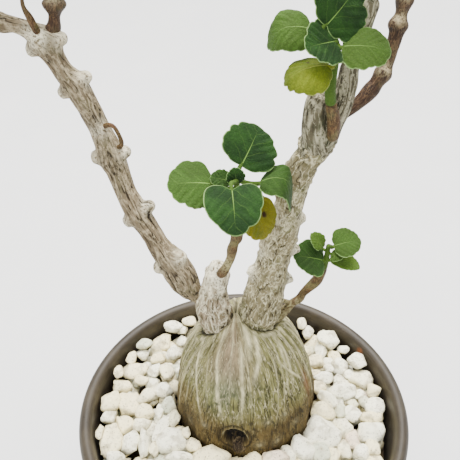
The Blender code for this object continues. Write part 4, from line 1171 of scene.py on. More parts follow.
@dataclass
class Stem:
    """One stem: rows of centre and radius, its bark, and balls that swell it at nodes and buds."""

    rows: Sequence[Row]
    bark: Bark
    seed: int = 0
    step: float = 0.42 * MM
    swellings: Sequence[Sequence[Row]] = ()
    crusts: Sequence[Row] = ()
    flat_end: bool = False
    tone: float = 0.0
    knob_height: float = 1.3 * MM

    def path(self) -> np.ndarray:
        """Centres and radii at equal steps along a smooth curve through the rows.

        Between rows b and c the curve is half of 2b + (c - a)t + (2a - 5b + 4c - d)t squared
        + (3b - a - 3c + d)t cubed; it is then resampled by its own length.
        """
        rows = millimetres(self.rows)
        before = 2 * rows[:1] - rows[1:2]
        after = 2 * rows[-1:] - rows[-2:-1]
        before[:, 3], after[:, 3] = rows[0, 3], rows[-1, 3]
        p = np.concatenate([before, rows, after])
        t = (np.arange(16) / 16)[None, :, None]
        a, b, c, d = (p[k : len(p) - 3 + k, None] for k in range(4))
        curve = 0.5 * (2 * b + (c - a) * t + (2 * a - 5 * b + 4 * c - d) * t**2 + (3 * b - a - 3 * c + d) * t**3)
        curve = np.concatenate([curve.reshape(-1, 4), rows[-1:]])
        length = np.concatenate([[0], np.cumsum(np.linalg.norm(np.diff(curve[:, :3], axis=0), axis=1))])
        steps = np.linspace(0, length[-1], max(int(length[-1] / self.step), 6))
        return np.stack([np.interp(steps, length, curve[:, k]) for k in range(4)] + [steps], axis=1)

    def frame(self, centres: np.ndarray) -> tuple[np.ndarray, np.ndarray, np.ndarray]:
        """Tangent, sideways and forward directions at each centre, turned as little as can be."""
        tangent = unit(np.gradient(centres, axis=0))
        span = np.abs(tangent).max(axis=0)
        reference = np.eye(3)[1] if span[1] < 0.8 else np.eye(3)[int(np.argmin(span))]
        side = unit(np.cross(np.broadcast_to(reference, tangent.shape), tangent))
        return tangent, side, np.cross(tangent, side)

    def swollen(self, centre: np.ndarray, out: np.ndarray, radius: np.ndarray) -> np.ndarray:
        """The radius where balls stand out of the stem.

        Along the outward ray from the centre, a ball is left at b + sqrt(b squared - c squared +
        r squared), where b is how far along the ray the ball's middle is and c how far from its
        start. The larger of that and the plain radius is taken, with the corner rounded.
        """
        for spindle in self.swellings:
            ends = millimetres(spindle)
            for share in np.linspace(0, len(ends) - 1, 9):
                low = min(int(share), len(ends) - 2)
                ball = ends[low] + (share - low) * (ends[low + 1] - ends[low])
                gap = ball[:3] - centre
                ahead = np.sum(gap * out, axis=-1)
                inside = ahead**2 - np.sum(gap**2, axis=-1) + ball[3] ** 2
                leave = np.where(inside > 0, ahead + np.sqrt(np.maximum(inside, 0)), 0)
                leave = np.minimum(leave, radius + self.knob_height * np.tanh((leave - radius) / self.knob_height))
                blend = 0.9 * MM
                share_up = np.clip(0.5 + 0.5 * (leave - radius) / blend, 0, 1)
                radius = radius + (leave - radius) * share_up + blend * share_up * (1 - share_up)
        return radius

    def surface(self) -> Patch:
        """The stem's skin: the circle round each centre, swollen at its nodes and roughened by its bark."""
        path = self.path()
        widest = path[:, 3].max()
        columns = max(int(TAU * widest / self.step), 10)
        ends = np.sin(np.linspace(0, 0.5 * math.pi, 5))[1:]
        if self.flat_end:
            ends = np.array((0.3, 0.6, 0.85))
        tangent_in = unit(path[0, :3] - path[1, :3])
        tangent_out = unit(path[-1, :3] - path[-2, :3])
        caps = []
        for row, tangent in ((path[0], tangent_in), (path[-1], tangent_out)):
            bulge = 0.12 if self.flat_end else 0.7
            cap = np.repeat(row[None], len(ends), axis=0)
            cap[:, :3] += tangent * (ends * row[3] * bulge)[:, None]
            fall = 1 - ends if self.flat_end else np.sqrt(np.maximum(1 - ends**2, 0.01))
            cap[:, 3] *= fall
            caps.append(cap)
        whole = np.concatenate([caps[0][::-1], path, caps[1]])
        inner = len(ends)
        centres, radius, along = whole[:, :3], whole[:, 3], whole[:, 4]
        tangent, side, front = self.frame(centres)
        tangent[:inner], tangent[-inner:] = tangent[inner], tangent[-inner - 1]
        side[:inner], side[-inner:] = side[inner], side[-inner - 1]
        front[:inner], front[-inner:] = front[inner], front[-inner - 1]
        turn = np.arange(columns) / columns * TAU
        out = side[:, None] * np.cos(turn)[:, None] + front[:, None] * np.sin(turn)[:, None]
        radius = np.repeat(radius[:, None], columns, axis=1)
        plain = np.maximum(radius, 0.2 * MM)
        own = np.stack([plain * np.cos(turn), plain * np.sin(turn), along[:, None] + 0 * turn], axis=-1)
        age = 1 - (along / along[-1])[:, None] + 0 * turn
        radius = self.swollen(centres[:, None], out, radius)
        height, ridge, pit = relief(self.bark, own / MM, age, self.seed)
        scale = np.clip(radius / (2.2 * MM), 0.25, 1)
        radius = np.maximum(radius + height * scale * MM * 0.8, 0.05 * radius)
        grid = centres[:, None] + out * radius[..., None]
        crust = np.zeros(age.shape)
        for x, y, z, size in self.crusts:
            near = np.linalg.norm(grid - millimetres((x, y, z)), axis=-1) / (size * MM)
            crust = np.maximum(crust, np.exp(-(near**2)) * ease(-0.6, 0.4, fractal(own / MM, 1.2, 2, self.seed + 8) + 0.4))
        tone = np.full(age.shape, self.tone)
        values = {"bark": own, "ridge": ridge, "pit": pit, "crust": crust, "age": age, "tone": tone}
        return closed_surface(grid, values)


# Caudex


@dataclass(frozen=True)
class Rib:
    """A pale rib of the caudex: its turn from the front in degrees, its width, and where it shows."""

    turn: float
    width: float
    strength: float
    low: float = 0.25
    high: float = 1.1
    drift: float = 0.0


@dataclass
class Caudex:
    """The barrel of the plant: lobes, ribs gathered at a pucker, a root scar, the stems' creases."""

    radius: float = 24 * MM
    middle: float = 84.6 * MM
    above: float = 45.5 * MM
    below: float = 10 * MM
    power: float = 2.17
    pucker: Point = (-3.2, 0.4, 130.0)
    ribs: tuple[Rib, ...] = (
        Rib(-86, 0.45, 0.6), Rib(-78, 0.35, 0.5), Rib(-69, 0.45, 0.7), Rib(-60, 0.35, 0.5, 0.35),
        Rib(-39, 0.42, 1.0, 0.36, 0.95, -58), Rib(-34, 0.25, 0.4, 0.5, 1.0, -40),
        Rib(-20, 0.6, 0.9, 0.46, 0.97, -34), Rib(-13, 0.25, 0.45, 0.55), Rib(-2.5, 0.5, 0.9, 0.50, 0.93, 6),
        Rib(6, 0.25, 0.5, 0.5), Rib(11, 1.0, 1.0, 0.88, 1.0, 70), Rib(14, 0.8, 1.0, 0.76, 0.97, 80),
        Rib(27, 0.3, 0.5, 0.4, 1.0, 30), Rib(36, 0.3, 0.6, 0.45, 1.0, 30), Rib(45, 0.4, 0.8, 0.6, 1.0, 40),
        Rib(66, 0.4, 0.95, 0.50, 0.84, -75), Rib(51, 0.45, 0.95, 0.6, 0.99, 30), Rib(69, 0.45, 0.85, 0.45),
        Rib(79, 0.5, 0.6), Rib(90, 0.5, 0.6),
    )
    back_ribs: int = 22
    scar: Point = (-3.2, -23.3, 95.3)
    scar_size: float = 4.3
    feet: tuple[tuple[Point, float], ...] = (((4.4, 0.6, 127), 5.9), ((-9.3, 0.6, 125), 5.0), ((8.6, 1.2, 125), 2.4))
    knobs: tuple[Row, ...] = (
        (7.1, -21.6, 102.5, 1.3), (12.8, -18.6, 102.4, 1.5), (-2.0, -22.6, 103.5, 1.1), (4.6, -23.6, 93.0, 1.6),
        (10.5, -21.4, 91.5, 1.8), (16.4, -16.6, 96.0, 1.4), (-13.0, -19.6, 98.0, 1.3), (-18.6, -14.4, 93.0, 1.5),
    )
    rows: int = 266
    columns: int = 350
    finish: CaudexFinish = CaudexFinish()

    def skin(self, direction: np.ndarray) -> np.ndarray:
        """Where a unit sphere's points lie on the plain caudex, with its lobes and its low right bulge."""
        x, y, up = np.moveaxis(direction, -1, 0)
        flat = np.hypot(x, y)
        share = 2 / self.power
        reach = np.where(up > 0, self.radius * flat**share, self.radius * flat)
        height = np.where(up > 0, self.above * np.maximum(up, 0) ** share, self.below * up)
        angle = np.arctan2(y, x)
        reach = reach * (1 + 0.018 * np.cos(9 * angle + 0.8 * np.sin(2 * angle)) * flat)
        low = np.exp(-(((height - 10 * MM) / (13 * MM)) ** 2))
        reach = reach * (1 + 0.018 * low * np.cos(angle + 0.5))
        return np.stack([reach * np.cos(angle), reach * np.sin(angle), self.middle + height], axis=-1)

    def directions(self) -> np.ndarray:
        """Unit directions by row and column, closer together in front and above the gravel."""
        share = np.linspace(0.004, 1, self.rows)
        polar = np.interp(share, (0, 0.9, 1), (0, 0.53, 0.985)) * math.pi
        turn = np.arange(self.columns) / self.columns * TAU
        turn = turn - 0.3 * np.sin(turn) - math.pi / 2
        polar, turn = np.meshgrid(polar, turn, indexing="ij")
        return np.stack([np.sin(polar) * np.cos(turn), np.sin(polar) * np.sin(turn), np.cos(polar)], axis=-1)

    def flow(self, x: np.ndarray, y: np.ndarray) -> np.ndarray:
        """The turn that a fibre through a place has low down, since all fibres run to the pucker.

        It is the direction of the place from the pucker's own place moved in towards the axis by
        the share of the full radius that the place has reached.
        """
        share = np.minimum(np.hypot(x, y) / self.radius, 1)
        px, py, _ = millimetres(self.pucker)
        return np.degrees(np.arctan2(x - px * (1 - share), -(y - py * (1 - share))))

    def all_ribs(self) -> list[Rib]:
        """The ribs that show in front and a seeded set for the back."""
        rng = np.random.default_rng(6)
        turns = np.linspace(99, 265, self.back_ribs) + rng.uniform(-3, 3, self.back_ribs)
        widths = rng.uniform(0.35, 0.9, self.back_ribs)
        strengths = rng.uniform(0.4, 1.0, self.back_ribs)
        lows = rng.uniform(0.2, 0.6, self.back_ribs)
        return [*self.ribs, *(Rib(*map(float, row)) for row in zip(turns, widths, strengths, lows))]

    def rib_mask(self, flow: np.ndarray, rise: np.ndarray, reach: np.ndarray, skin: np.ndarray) -> np.ndarray:
        """Bells of the distance to each rib, blotched along their length, from 0 to 1."""
        mask = np.zeros(flow.shape)
        wander = 0.35 * noise(skin / MM, (5, 5, 9), 3) + 0.16 * noise(skin / MM, 1.6, 4)
        for number, rib in enumerate(self.all_ribs()):
            away = (flow - rib.turn - rib.drift * (rise - rib.low) + 180) % 360 - 180
            away = np.radians(away) * np.maximum(reach, 3 * MM) / MM + wander
            blotch = 0.62 + 0.5 * noise(skin / MM, (3, 3, 2.2), 60 + number)
            shown = ease(rib.low - 0.09, rib.low + 0.07, rise) * (1 - ease(rib.high - 0.04, rib.high + 0.02, rise))
            mask = np.maximum(mask, rib.strength * np.exp(-((away / rib.width) ** 2)) * shown * blotch)
        return np.clip(mask, 0, 1)

    def surface(self) -> Patch:
        """The skin with everything that time has drawn on it, and the painted shade at its bottom and in its creases.

        Each feature is a bell, exp of minus distance squared, of the distance to its own line or
        place. Heights are in millimetres along the outward normal.
        """
        direction = self.directions()
        skin = self.skin(direction)
        normal = unit(direction / np.array((self.radius, self.radius, self.above)))
        x, y, z = np.moveaxis(skin, -1, 0)
        reach = np.hypot(x, y)
        rise = (z - self.middle) / self.above
        front = np.degrees(np.arctan2(x, -y))
        flow = self.flow(x, y)
        px, py, _ = millimetres(self.pucker)
        down = np.cumsum(np.linalg.norm(np.diff(skin, axis=0, prepend=skin[:1]), axis=-1), axis=0)
        own = np.stack([self.radius * np.sin(np.radians(flow)), self.radius * np.cos(np.radians(flow)), down], axis=-1)
        rib = self.rib_mask(flow, rise, reach, skin)
        threads = 1 - np.abs(noise(own / MM, (0.9, 0.9, 6.0), 7))
        coarse = fractal(own / MM, (2.4, 2.4, 9.0), 2, 13)
        lump = fractal(skin / MM, 9.0, 2, 21)
        low = 1 - ease(0.30, 0.62, rise)
        wrinkle = 1 - np.abs(noise(skin / MM, (3.4, 3.4, 1.5), 23))
        height = 0.42 * rib + 0.16 * threads + 0.20 * coarse + 0.32 * lump + 0.28 * low * wrinkle
        seam = np.exp(-(((x - px) / (0.55 * MM)) ** 2)) * ease(-1.5 * MM, 1 * MM, y - py) * (rise > 0.9)
        to_pucker = np.hypot(x - px, y - py) / MM
        about = np.degrees(np.arctan2(x - px, -(y - py)))
        fan = 1 - np.abs(noise(np.stack([about / 9, 0 * about, 0 * about], axis=-1), 1.0, 71))
        fan = ease(0.55, 0.95, fan) * (1 - ease(3, 9, to_pucker)) * (y < py)
        height = height - 1.5 * seam + 0.16 * fan
        crease = 0.9 * seam
        ring = np.zeros(x.shape)
        for (fx, fy, fz), width in self.feet:
            away = (np.hypot(x - fx * MM, y - fy * MM) - width * MM) / MM + 0.25 * noise(skin / MM, 2.2, 75)
            near = np.exp(-((away / 0.55) ** 2)) * (rise > 0.6)
            swell = np.exp(-(((away - 1.5) / 0.8) ** 2)) * (rise > 0.6)
            height = height - 0.8 * near + 0.35 * swell
            crease = np.maximum(crease, near)
            ring = np.maximum(ring, 0.6 * swell * ease(-0.3, 0.5, noise(skin / MM, 1.4, 76)))
        scar_place = millimetres(self.scar)
        offset = (skin - scar_place) / MM
        to_scar = np.hypot(np.hypot(offset[..., 0], offset[..., 1]), 0.95 * offset[..., 2])
        to_scar = to_scar * (1 + 0.10 * noise(skin / MM, 2.5, 31)) / self.scar_size
        hollow = 1 - ease(0.80, 1.02, to_scar)
        lip = np.exp(-(((to_scar - 0.93) / 0.055) ** 2)) * ease(-0.2, 0.35, offset[..., 2] / self.scar_size)
        outer = np.exp(-(((to_scar - 1.22) / 0.10) ** 2))
        crumbs = fractal(skin / MM, 1.1, 2, 5)
        height = height * (1 - hollow) - 2.2 * hollow + 0.45 * lip - 0.35 * outer + 0.8 * hollow * crumbs
        knob = np.zeros(x.shape)
        eye = np.zeros(x.shape)
        for kx, ky, kz, size in self.knobs:
            away = np.linalg.norm(skin - millimetres((kx, ky, kz)), axis=-1) / (size * MM)
            knob = np.maximum(knob, np.exp(-(away**2)))
            eye = np.maximum(eye, np.exp(-(((away - 0.75) / 0.22) ** 2)))
        height = height + 0.7 * knob - 0.25 * eye
        skin = skin + normal * (height * MM)[..., None]
        gap = np.exp(-(((front - 63) / 2.2) ** 2)) * np.exp(-(((rise - 0.53) / 0.035) ** 2))
        soft = fractal(own / MM, (4, 4, 8), 2, 41)
        band = np.exp(-(((flow + 16) / 27) ** 2))
        calm = band * ease(0.46, 0.66, rise + 0.06 * soft)
        top = calm * ease(0.55, 0.8, rise)
        bare = np.exp(-(((flow + 16) / 17) ** 2)) * np.exp(-(((rise - 0.62) / 0.14) ** 2))
        bare = bare * ease(-0.5, 0.2, soft + 0.25)
        damp = np.exp(-(((flow + 22) / 15) ** 2)) * np.exp(-(((rise - 0.52) / 0.10) ** 2))
        damp = np.maximum(damp, 0.8 * np.exp(-(((front - 12) / 14) ** 2)) * np.exp(-(((rise - 0.66) / 0.10) ** 2)))
        damp = damp * ease(-0.1, 0.35, fractal(own / MM, (1.0, 1.0, 1.8), 2, 43))
        rust = np.exp(-(((front - 70) / 5) ** 2)) * np.exp(-(((rise - 0.45) / 0.12) ** 2))
        foot = 1 - ease(0.26, 0.60, rise + 0.08 * fractal(own / MM, (5, 5, 9), 2, 47))
        # Painted shade: darker at the bottom, where the caudex sinks into the pumice, and low on its left, where it
        # curves in under itself.
        bottom_shade = (1 - ease(-0.02, 0.16, rise + 0.05 * soft)) * ease(-0.3, 0.3, fractal(skin / MM, 3, 2, 49) + 0.1)
        bottom_shade = np.maximum(bottom_shade, 0.8 * np.exp(-(((front + 56) / 12) ** 2)) * (1 - ease(0.15, 0.3, rise)))
        # pit also paints shade in the creases round the stems' feet, along the top seam and in the trough under the
        # root scar's lip.
        pit = np.maximum(np.clip(hollow - 0.35 * hollow * (crumbs > 0.35), 0, 1), 0.9 * np.clip(crease, 0, 1))
        pit = np.maximum(pit, np.maximum(0.9 * gap, np.maximum(0.45 * eye, 0.7 * outer * (rise < 0.4))))
        values = {
            "skin": own, "rib": np.clip(np.maximum(rib, ring) + 0.8 * fan + 0.45 * lip + 0.2 * knob, 0, 1), "calm": calm,
            "top": top, "bare": bare, "damp": damp, "rust": rust, "foot": foot, "bottom_shade": np.clip(bottom_shade, 0, 1),
            "pit": pit * (1 - 0.8 * lip),
        }
        return closed_surface(skin, values)

    def build(self) -> None:
        """The caudex alone; the stems are built by Wood."""
        add_piece("caudex", grown(self.surface()), self.finish.material(), ("caudex_wood",))


# Woody stems


@dataclass
class Wood:
    """Every woody stem above the caudex and the root below it."""

    trunk: Sequence[Row] = (
        (4.0, 0.8, 121, 4.4), (4.4, 0.6, 127.5, 5.6), (4.8, 0.2, 132, 6.5), (5.4, 0, 137, 6.2), (7.1, 1, 147, 5.7),
        (8.3, 1.5, 153.5, 4.9),
        (9.3, 2, 160, 5.2), (10.9, 2, 167, 4.7), (12.0, 2, 174, 4.2), (13.2, 2, 181.5, 4.3), (15.5, 2, 189, 3.9),
        (17.6, 2, 193, 4.1), (19.3, 2, 198, 4.7), (21.8, 2, 204, 3.8), (24.1, 2, 209, 3.1), (25.1, 2, 215, 2.7),
        (25.4, 2, 219.5, 2.3), (27.0, 2, 225, 1.7), (28.3, 2, 231.5, 1.5), (28.4, 2, 236, 2.3),
        (28.6, 2, 239, 1.5), (29.2, -1, 248, 1.4), (30.0, -4, 256, 1.3),
    )
    cut_stub: Sequence[Row] = ((19.0, 1, 196, 4.0), (17.2, -0.3, 204, 3.3), (17.0, -1, 210, 2.6), (17.5, -1, 213, 2.2))
    side_branch: Sequence[Row] = (
        (24.6, 2.5, 205, 1.8), (28.4, 4, 206.7, 1.7), (32.1, 6, 209.8, 2.2), (33.8, 7, 211.9, 1.9),
        (35.3, 8, 214.1, 2.5), (36.2, 9, 216, 1.7), (37.9, 11.5, 222.8, 1.9), (38.4, 12.5, 225.5, 2.7),
        (39, 13.5, 228.2, 1.6), (39.6, 14.5, 231.5, 2.4), (41.1, 15.5, 234.4, 1.6), (46, 17, 241, 1.4),
        (52.5, 19, 245.5, 2), (57.5, 20, 248, 1.3), (65.5, 21, 253, 1.2),
    )
    stub: Sequence[Row] = (
        (-8.8, 0.8, 120, 3.8), (-9.2, 0.6, 126, 4.8), (-10.0, 0.2, 130.5, 5.5), (-10.6, 0, 135, 5.0),
        (-10.3, 0, 140.3, 4.2),
        (-9.5, 0, 144.7, 3.8), (-8.9, 0, 149, 3.4), (-8.6, 0, 151.6, 2.2),
    )
    left_branch: Sequence[Row] = (
        (-12, 0, 134.5, 1.9), (-15.3, 0.5, 137.3, 1.9), (-16.8, 1, 139.3, 3.2), (-18.9, 2, 142.3, 4.4),
        (-20.9, 3, 146.2, 4.8), (-23.7, 4.5, 150.4, 4.2), (-26.8, 6, 154.1, 3.4), (-30, 8, 159.8, 3.2),
        (-33.1, 9.5, 164.7, 3.6), (-36.3, 11.5, 171.2, 3.1), (-38.4, 13.5, 177.8, 3.3),
        (-40.2, 14.5, 182.8, 3.9), (-42.4, 16.5, 189.4, 3.1), (-45.6, 18.5, 197, 3.1), (-49, 20, 203.7, 3.5),
        (-51.6, 20.5, 207.2, 2.9), (-53.6, 21, 211.3, 2.9), (-55.9, 21.5, 216.2, 4.2), (-59.3, 21.5, 219.3, 2.6),
        (-62.8, 21, 221.3, 2), (-66.6, 20.5, 222.4, 2.6), (-69.4, 20, 225, 1.9), (-70.4, 19.5, 231, 1.5),
        (-70.4, 19, 238, 1.3),
    )
    left_shoot: Sequence[Row] = (
        (-55.1, 21.5, 216.1, 2.6), (-53, 22, 219.9, 2.1), (-52.3, 22.5, 223.4, 1.7), (-52, 23, 226.3, 3.3),
        (-51.7, 23.5, 228.9, 1.9), (-50.6, 24, 235, 1.5), (-49.6, 24, 243, 1.2),
    )
    dead_twigs: Sequence[Sequence[Row]] = (
        ((-56.5, 20.5, 217.2, 1.0), (-57.9, 18.5, 224.3, 1.0), (-59, 18, 227.8, 0.6), (-59, 18, 231, 0.5)),
        ((-42.6, 17, 191.2, 0.9), (-38.5, 13, 194.3, 0.6), (-36.6, 12.5, 190.8, 0.6), (-36.6, 13.3, 187.2, 0.7),
         (-39.4, 14.6, 185.2, 0.8)),
    )
    trunk_twig: Sequence[Row] = (
        (21.9, 0.5, 200.5, 1.5), (22.1, -3, 202, 1.7), (21.6, -4, 208, 1.7), (20.6, -4.8, 212, 1.5),
    )
    stub_twig: Sequence[Row] = (
        (-8.6, 0, 149, 1.7), (-7.1, -3, 152, 1.5), (-4.9, -5, 159.4, 1.3), (-4.4, -5.5, 163.3, 1.6),
        (-3.8, -6, 166.5, 1.4), (-3.0, -7, 170.1, 1.8), (-3.0, -7.8, 174.5, 1.4),
    )
    low_twig: Sequence[Row] = (
        (8.0, 1, 124.5, 2.2), (12.8, 3, 128.4, 1.6), (15.3, 4, 131.1, 1.3), (17.7, 5, 132.2, 1.4),
        (19.0, 5, 135.2, 1.3), (22.3, 5, 139.8, 1.8), (23.6, 4.5, 143.4, 1.6), (24.2, 4, 146.6, 1.4),
    )
    low_spur: Sequence[Row] = ((8.5, 2, 134.5, 0.9), (11.5, 3, 133.6, 0.7), (15.0, 4, 131.1, 0.8))
    taproot: Sequence[Row] = ((0, 0, 79, 8), (0, 0, 72, 7), (0.5, 0, 62, 5.2), (1, 0, 54, 3.4), (0.5, 0.5, 47, 1.6))
    root_end: Sequence[Row] = ((-1.9, -15, 92.6, 2.4), (-2.0, -23.6, 90.0, 2.2))
    left_knobs: Sequence[Sequence[Row]] = (
        ((-19.9, 2, 154.0, 1.6), (-21.9, 3.5, 150.1, 3.7), (-27.1, 3.5, 148.0, 2.0)),
        ((-36.3, 9, 162.0, 1.9), (-33.1, 9.5, 164.7, 3.3), (-29.6, 9.5, 167.6, 1.9)),
        ((-45.1, 14.5, 182.2, 1.9), (-40.2, 14.5, 182.8, 3.4), (-35.9, 14.5, 184.1, 1.8)),
        ((-53.2, 20, 200.4, 1.8), (-49.0, 20, 203.7, 3.2), (-45.5, 20, 205.9, 1.8)),
        ((-60.1, 21, 213.5, 1.9), (-55.8, 21.3, 216.4, 3.4), (-51.2, 21, 217.1, 1.9)),
    )
    trunk_knobs: Sequence[Sequence[Row]] = (
        ((2.0, 1, 149.0, 1.6), (7.1, 1, 147, 4.6), (13.0, 1, 145.4, 1.5)),
        ((5.0, 1.5, 158.8, 1.2), (9.3, 2, 158, 4.4), (14.6, 2, 157.0, 1.3)),
        ((16.4, 2, 169.2, 1.2), (12.0, 2, 170, 3.8), (8.0, 1.5, 171.6, 1.1)),
    )

    def knob_ends(self, knobs: Sequence[Sequence[Row]], size: float) -> list[Row]:
        """Places for crust round both ends of each knob."""
        return [(*end[:3], size) for knob in knobs for end in (knob[0], knob[-1])]

    def build(self) -> None:
        """Builds the stems, each group in the bark that it has."""
        wood = ("caudex_wood",)
        trunk_low, trunk_high = self.trunk[:13], self.trunk[11:]
        trunk = Stem(trunk_low, Bark.WARTY, 3, 0.38 * MM, self.trunk_knobs, self.knob_ends(self.trunk_knobs, 3))
        add_piece("trunk", grown(trunk.surface()), WARTY_BARK.material(), wood)
        limb = [
            Stem(trunk_high, Bark.STREAKED, 5, 0.4 * MM),
            Stem(self.cut_stub, Bark.STREAKED, 6, 0.4 * MM, flat_end=True),
        ]
        add_piece("trunk_limb", grown(joined(s.surface() for s in limb)), LIMB_BARK.material(), wood)
        stub = Stem(self.stub, Bark.LUMPY, 8, 0.38 * MM, crusts=((-9, -2, 151, 5), (-8, -4, 146, 3)))
        root = [Stem(self.taproot, Bark.LUMPY, 21, 1.2 * MM), Stem(self.root_end, Bark.LUMPY, 22, 0.4 * MM)]
        add_piece("stub", grown(joined([stub.surface(), root[0].surface()])), STUB_BARK.material(), wood)
        add_piece("root_scar", grown(root[1].surface()), ROOT_BARK.material(), wood)
        crusts = self.knob_ends(self.left_knobs, 2.4) + [(-57.5, 19, 219, 3.0), (-42.6, 16, 191.2, 2.4)]
        left = Stem(self.left_branch, Bark.CRACKED, 13, 0.40 * MM, self.left_knobs, crusts)
        add_piece("left_branch", grown(left.surface()), CRACKED_BARK.material(), wood)
        shoots = [
            Stem(self.left_shoot, Bark.SMOOTH, 14, 0.4 * MM, crusts=((-52, 22, 228.6, 2.0),)),
            Stem(self.side_branch, Bark.SMOOTH, 15, 0.38 * MM, crusts=(
                (35.3, 7, 215.8, 1.9), (38.4, 11.5, 227.8, 1.7), (39.6, 13.5, 233, 1.5), (52.5, 18, 246.5, 2.0))),
        ]
        add_piece("side_shoots", grown(joined(s.surface() for s in shoots)), BROWN_BARK.material(), wood)
        twigs = [Stem(rows, Bark.SMOOTH, 30 + n, 0.3 * MM) for n, rows in enumerate(self.dead_twigs)]
        twigs += [
            Stem(self.trunk_twig, Bark.SMOOTH, 33, 0.3 * MM),
            Stem(self.stub_twig, Bark.SMOOTH, 34, 0.3 * MM, crusts=((-5.5, -5, 158, 4),)),
            Stem(self.low_twig, Bark.SMOOTH, 35, 0.3 * MM, crusts=((11, 2, 127, 5), (15.5, 3.5, 131, 3))),
            Stem(self.low_spur, Bark.SMOOTH, 36, 0.3 * MM, crusts=((11, 2, 134, 5),)),
        ]
        add_piece("twigs", grown(joined(s.surface() for s in twigs)), TWIG_BARK.material(), wood)


# Leaves


class Margin(Enum):
    """The shape of a leaf's edge, as the number of lobes and the depth of the notches between them."""

    ENTIRE = (7, 0.012)
    WAVY = (9, 0.05)
    LOBED = (11, 0.10)
    CUT = (11, 0.17)


@dataclass(frozen=True)
class Leaf:
    """One leaf: where its base and tip are, how it is folded, and what its edge and colour are like."""

    base: Point
    tip: Point
    width: float
    normal: Point
    arch: float = 0.06
    near_fold: float = 5
    far_fold: float = 5
    margin: Margin = Margin.LOBED
    heart: float = 0.0
    droop: float = 0.0
    roll: float = 0.0
    wave: float = 0.02
    young: float = 0.0
    old: float = 0.0
    spots: tuple[Point, ...] = ()
    cuts: tuple[Point, ...] = ()
    seed: int = 1
    thickness: float = 0.55 * MM

    def outline(self, turn: np.ndarray) -> tuple[np.ndarray, np.ndarray]:
        """The edge as share of the length along the midrib and share of the half width across it.

        The plain edge is 0.5 + 0.5 cos, sin (1 - 0.16 cos). Lobes are the absolute sine of an
        unevenly running angle, so that they are round and the notches between them narrow. A bell
        at the base draws the edge in and two beside it push it back, which makes a heart. Each cut
        is a peaked bell at its own angle.

        Args:
            turn: Angles round the leaf, 0 at the tip.

        Returns:
            Shares along and across.
        """
        lobes, depth = self.margin.value
        ring = np.stack([np.cos(turn), np.sin(turn), 0 * turn + self.seed * 3.7], axis=-1)
        uneven = turn * lobes / 2 + 0.9 * noise(ring, 0.55, self.seed)
        notch = (1 - np.abs(np.cos(uneven))) ** 1.6 * (0.45 + 0.9 * (0.5 + 0.5 * noise(ring, 0.4, self.seed + 5)))
        reach = 1 - depth * notch + 0.02 * noise(ring, 0.9, self.seed + 9)
        back = np.abs((turn + math.pi) % TAU - math.pi)
        back = math.pi - back
        pull = self.heart * np.exp(-((back / 0.26) ** 2))
        push = 0.55 * self.heart * np.exp(-(((back - 0.72) / 0.36) ** 2))
        reach = reach * (1 - pull + push)
        for angle, deep, width in self.cuts:
            away = np.degrees(turn - math.radians(angle) + math.pi) % 360 - 180
            reach = reach * (1 - deep * np.exp(-np.abs(away / width) ** 1.5))
        along = 0.45 + (0.05 + 0.5 * np.cos(turn)) * reach
        across = np.sin(turn) * (1 - 0.16 * np.cos(turn)) * reach
        return along, across

    def placed(self, along: np.ndarray, across: np.ndarray) -> np.ndarray:
        """Where the leaf's own coordinates are in space.

        Height is the arch, 4s(1 - s), plus the fold, which rises with the distance from the
        midrib, less the droop past the middle and the roll near the edge, both squared.

        Args:
            along: Shares of the length.
            across: Shares of the half width.

        Returns:
            Points in metres.
        """
        base, tip = millimetres(self.base), millimetres(self.tip)
        length = np.linalg.norm(tip - base)
        ahead = unit(tip - base)
        up = np.array(self.normal, float)
        up = unit(up - up.dot(ahead) * ahead)
        beside = np.cross(up, ahead)
        near = 1 if beside[1] < 0 else -1
        fold = np.radians(np.where(across * near > 0, self.near_fold, self.far_fold))
        side = across * self.width * MM / 2
        soft = np.sqrt(side**2 + (0.25 * MM) ** 2) - 0.25 * MM
        height = length * self.arch * 4 * along * (1 - along) + soft * np.sin(fold)
        beyond = np.maximum(along - 0.5, 0)
        height = height - self.droop * length * beyond**2 * 3
        outer = np.maximum(np.abs(across) - 0.55, 0)
        height = height - self.roll * self.width * MM * outer**2 * 2.2
        quilt = np.cos(TAU * (5 * (along - 0.55 * np.abs(across)) + 0.5)) * ease(0.05, 0.35, np.abs(across))
        height = height + 0.10 * MM * quilt
        own = np.stack([along * 2, across, 0 * along + self.seed], axis=-1)
        height = height + self.wave * length * noise(own, 0.45, self.seed + 2) * (across**2 + (along - 0.5) ** 2)
        reach = (along - 0.25 * self.droop * beyond**2 * 3) * length
        return base + ahead * reach[..., None] + beside * (side * np.cos(fold))[..., None] + up * height[..., None]

    def surface(self, rows: int = 15, columns: int = 110) -> Patch:
        """The blade: rings from its middle to its edge over the top, and back underneath.

        The half thickness at a share q of the way out is the root of 1 - q to the eighth.
        """
        turn = np.arange(columns) / columns * TAU
        along, across = self.outline(turn)
        out = (np.arange(rows) + 1) / rows
        out = np.sin(out * math.pi / 2) ** 0.9
        s = 0.45 + (along - 0.45) * out[:, None]
        v = across * out[:, None]
        sheet = self.placed(s, v)
        step = 1e-3
        d_along = self.placed(s + step, v) - sheet
        d_across = self.placed(s, v + step) - sheet
        normal = unit(np.cross(d_along, d_across))
        if np.sum(normal * np.array(self.normal)) < 0:
            normal = -normal
        half = 0.5 * self.thickness * np.sqrt(np.maximum(1 - out**8, 0))[:, None, None]
        over, under = sheet + normal * half, sheet - normal * half
        grid = np.concatenate([over[:-1], sheet[-1:], under[-2::-1]])

        def both(items: np.ndarray) -> np.ndarray:
            """The items for the top, the edge and the underside."""
            return np.concatenate([items[:-1], items[-1:], items[-2::-1]])
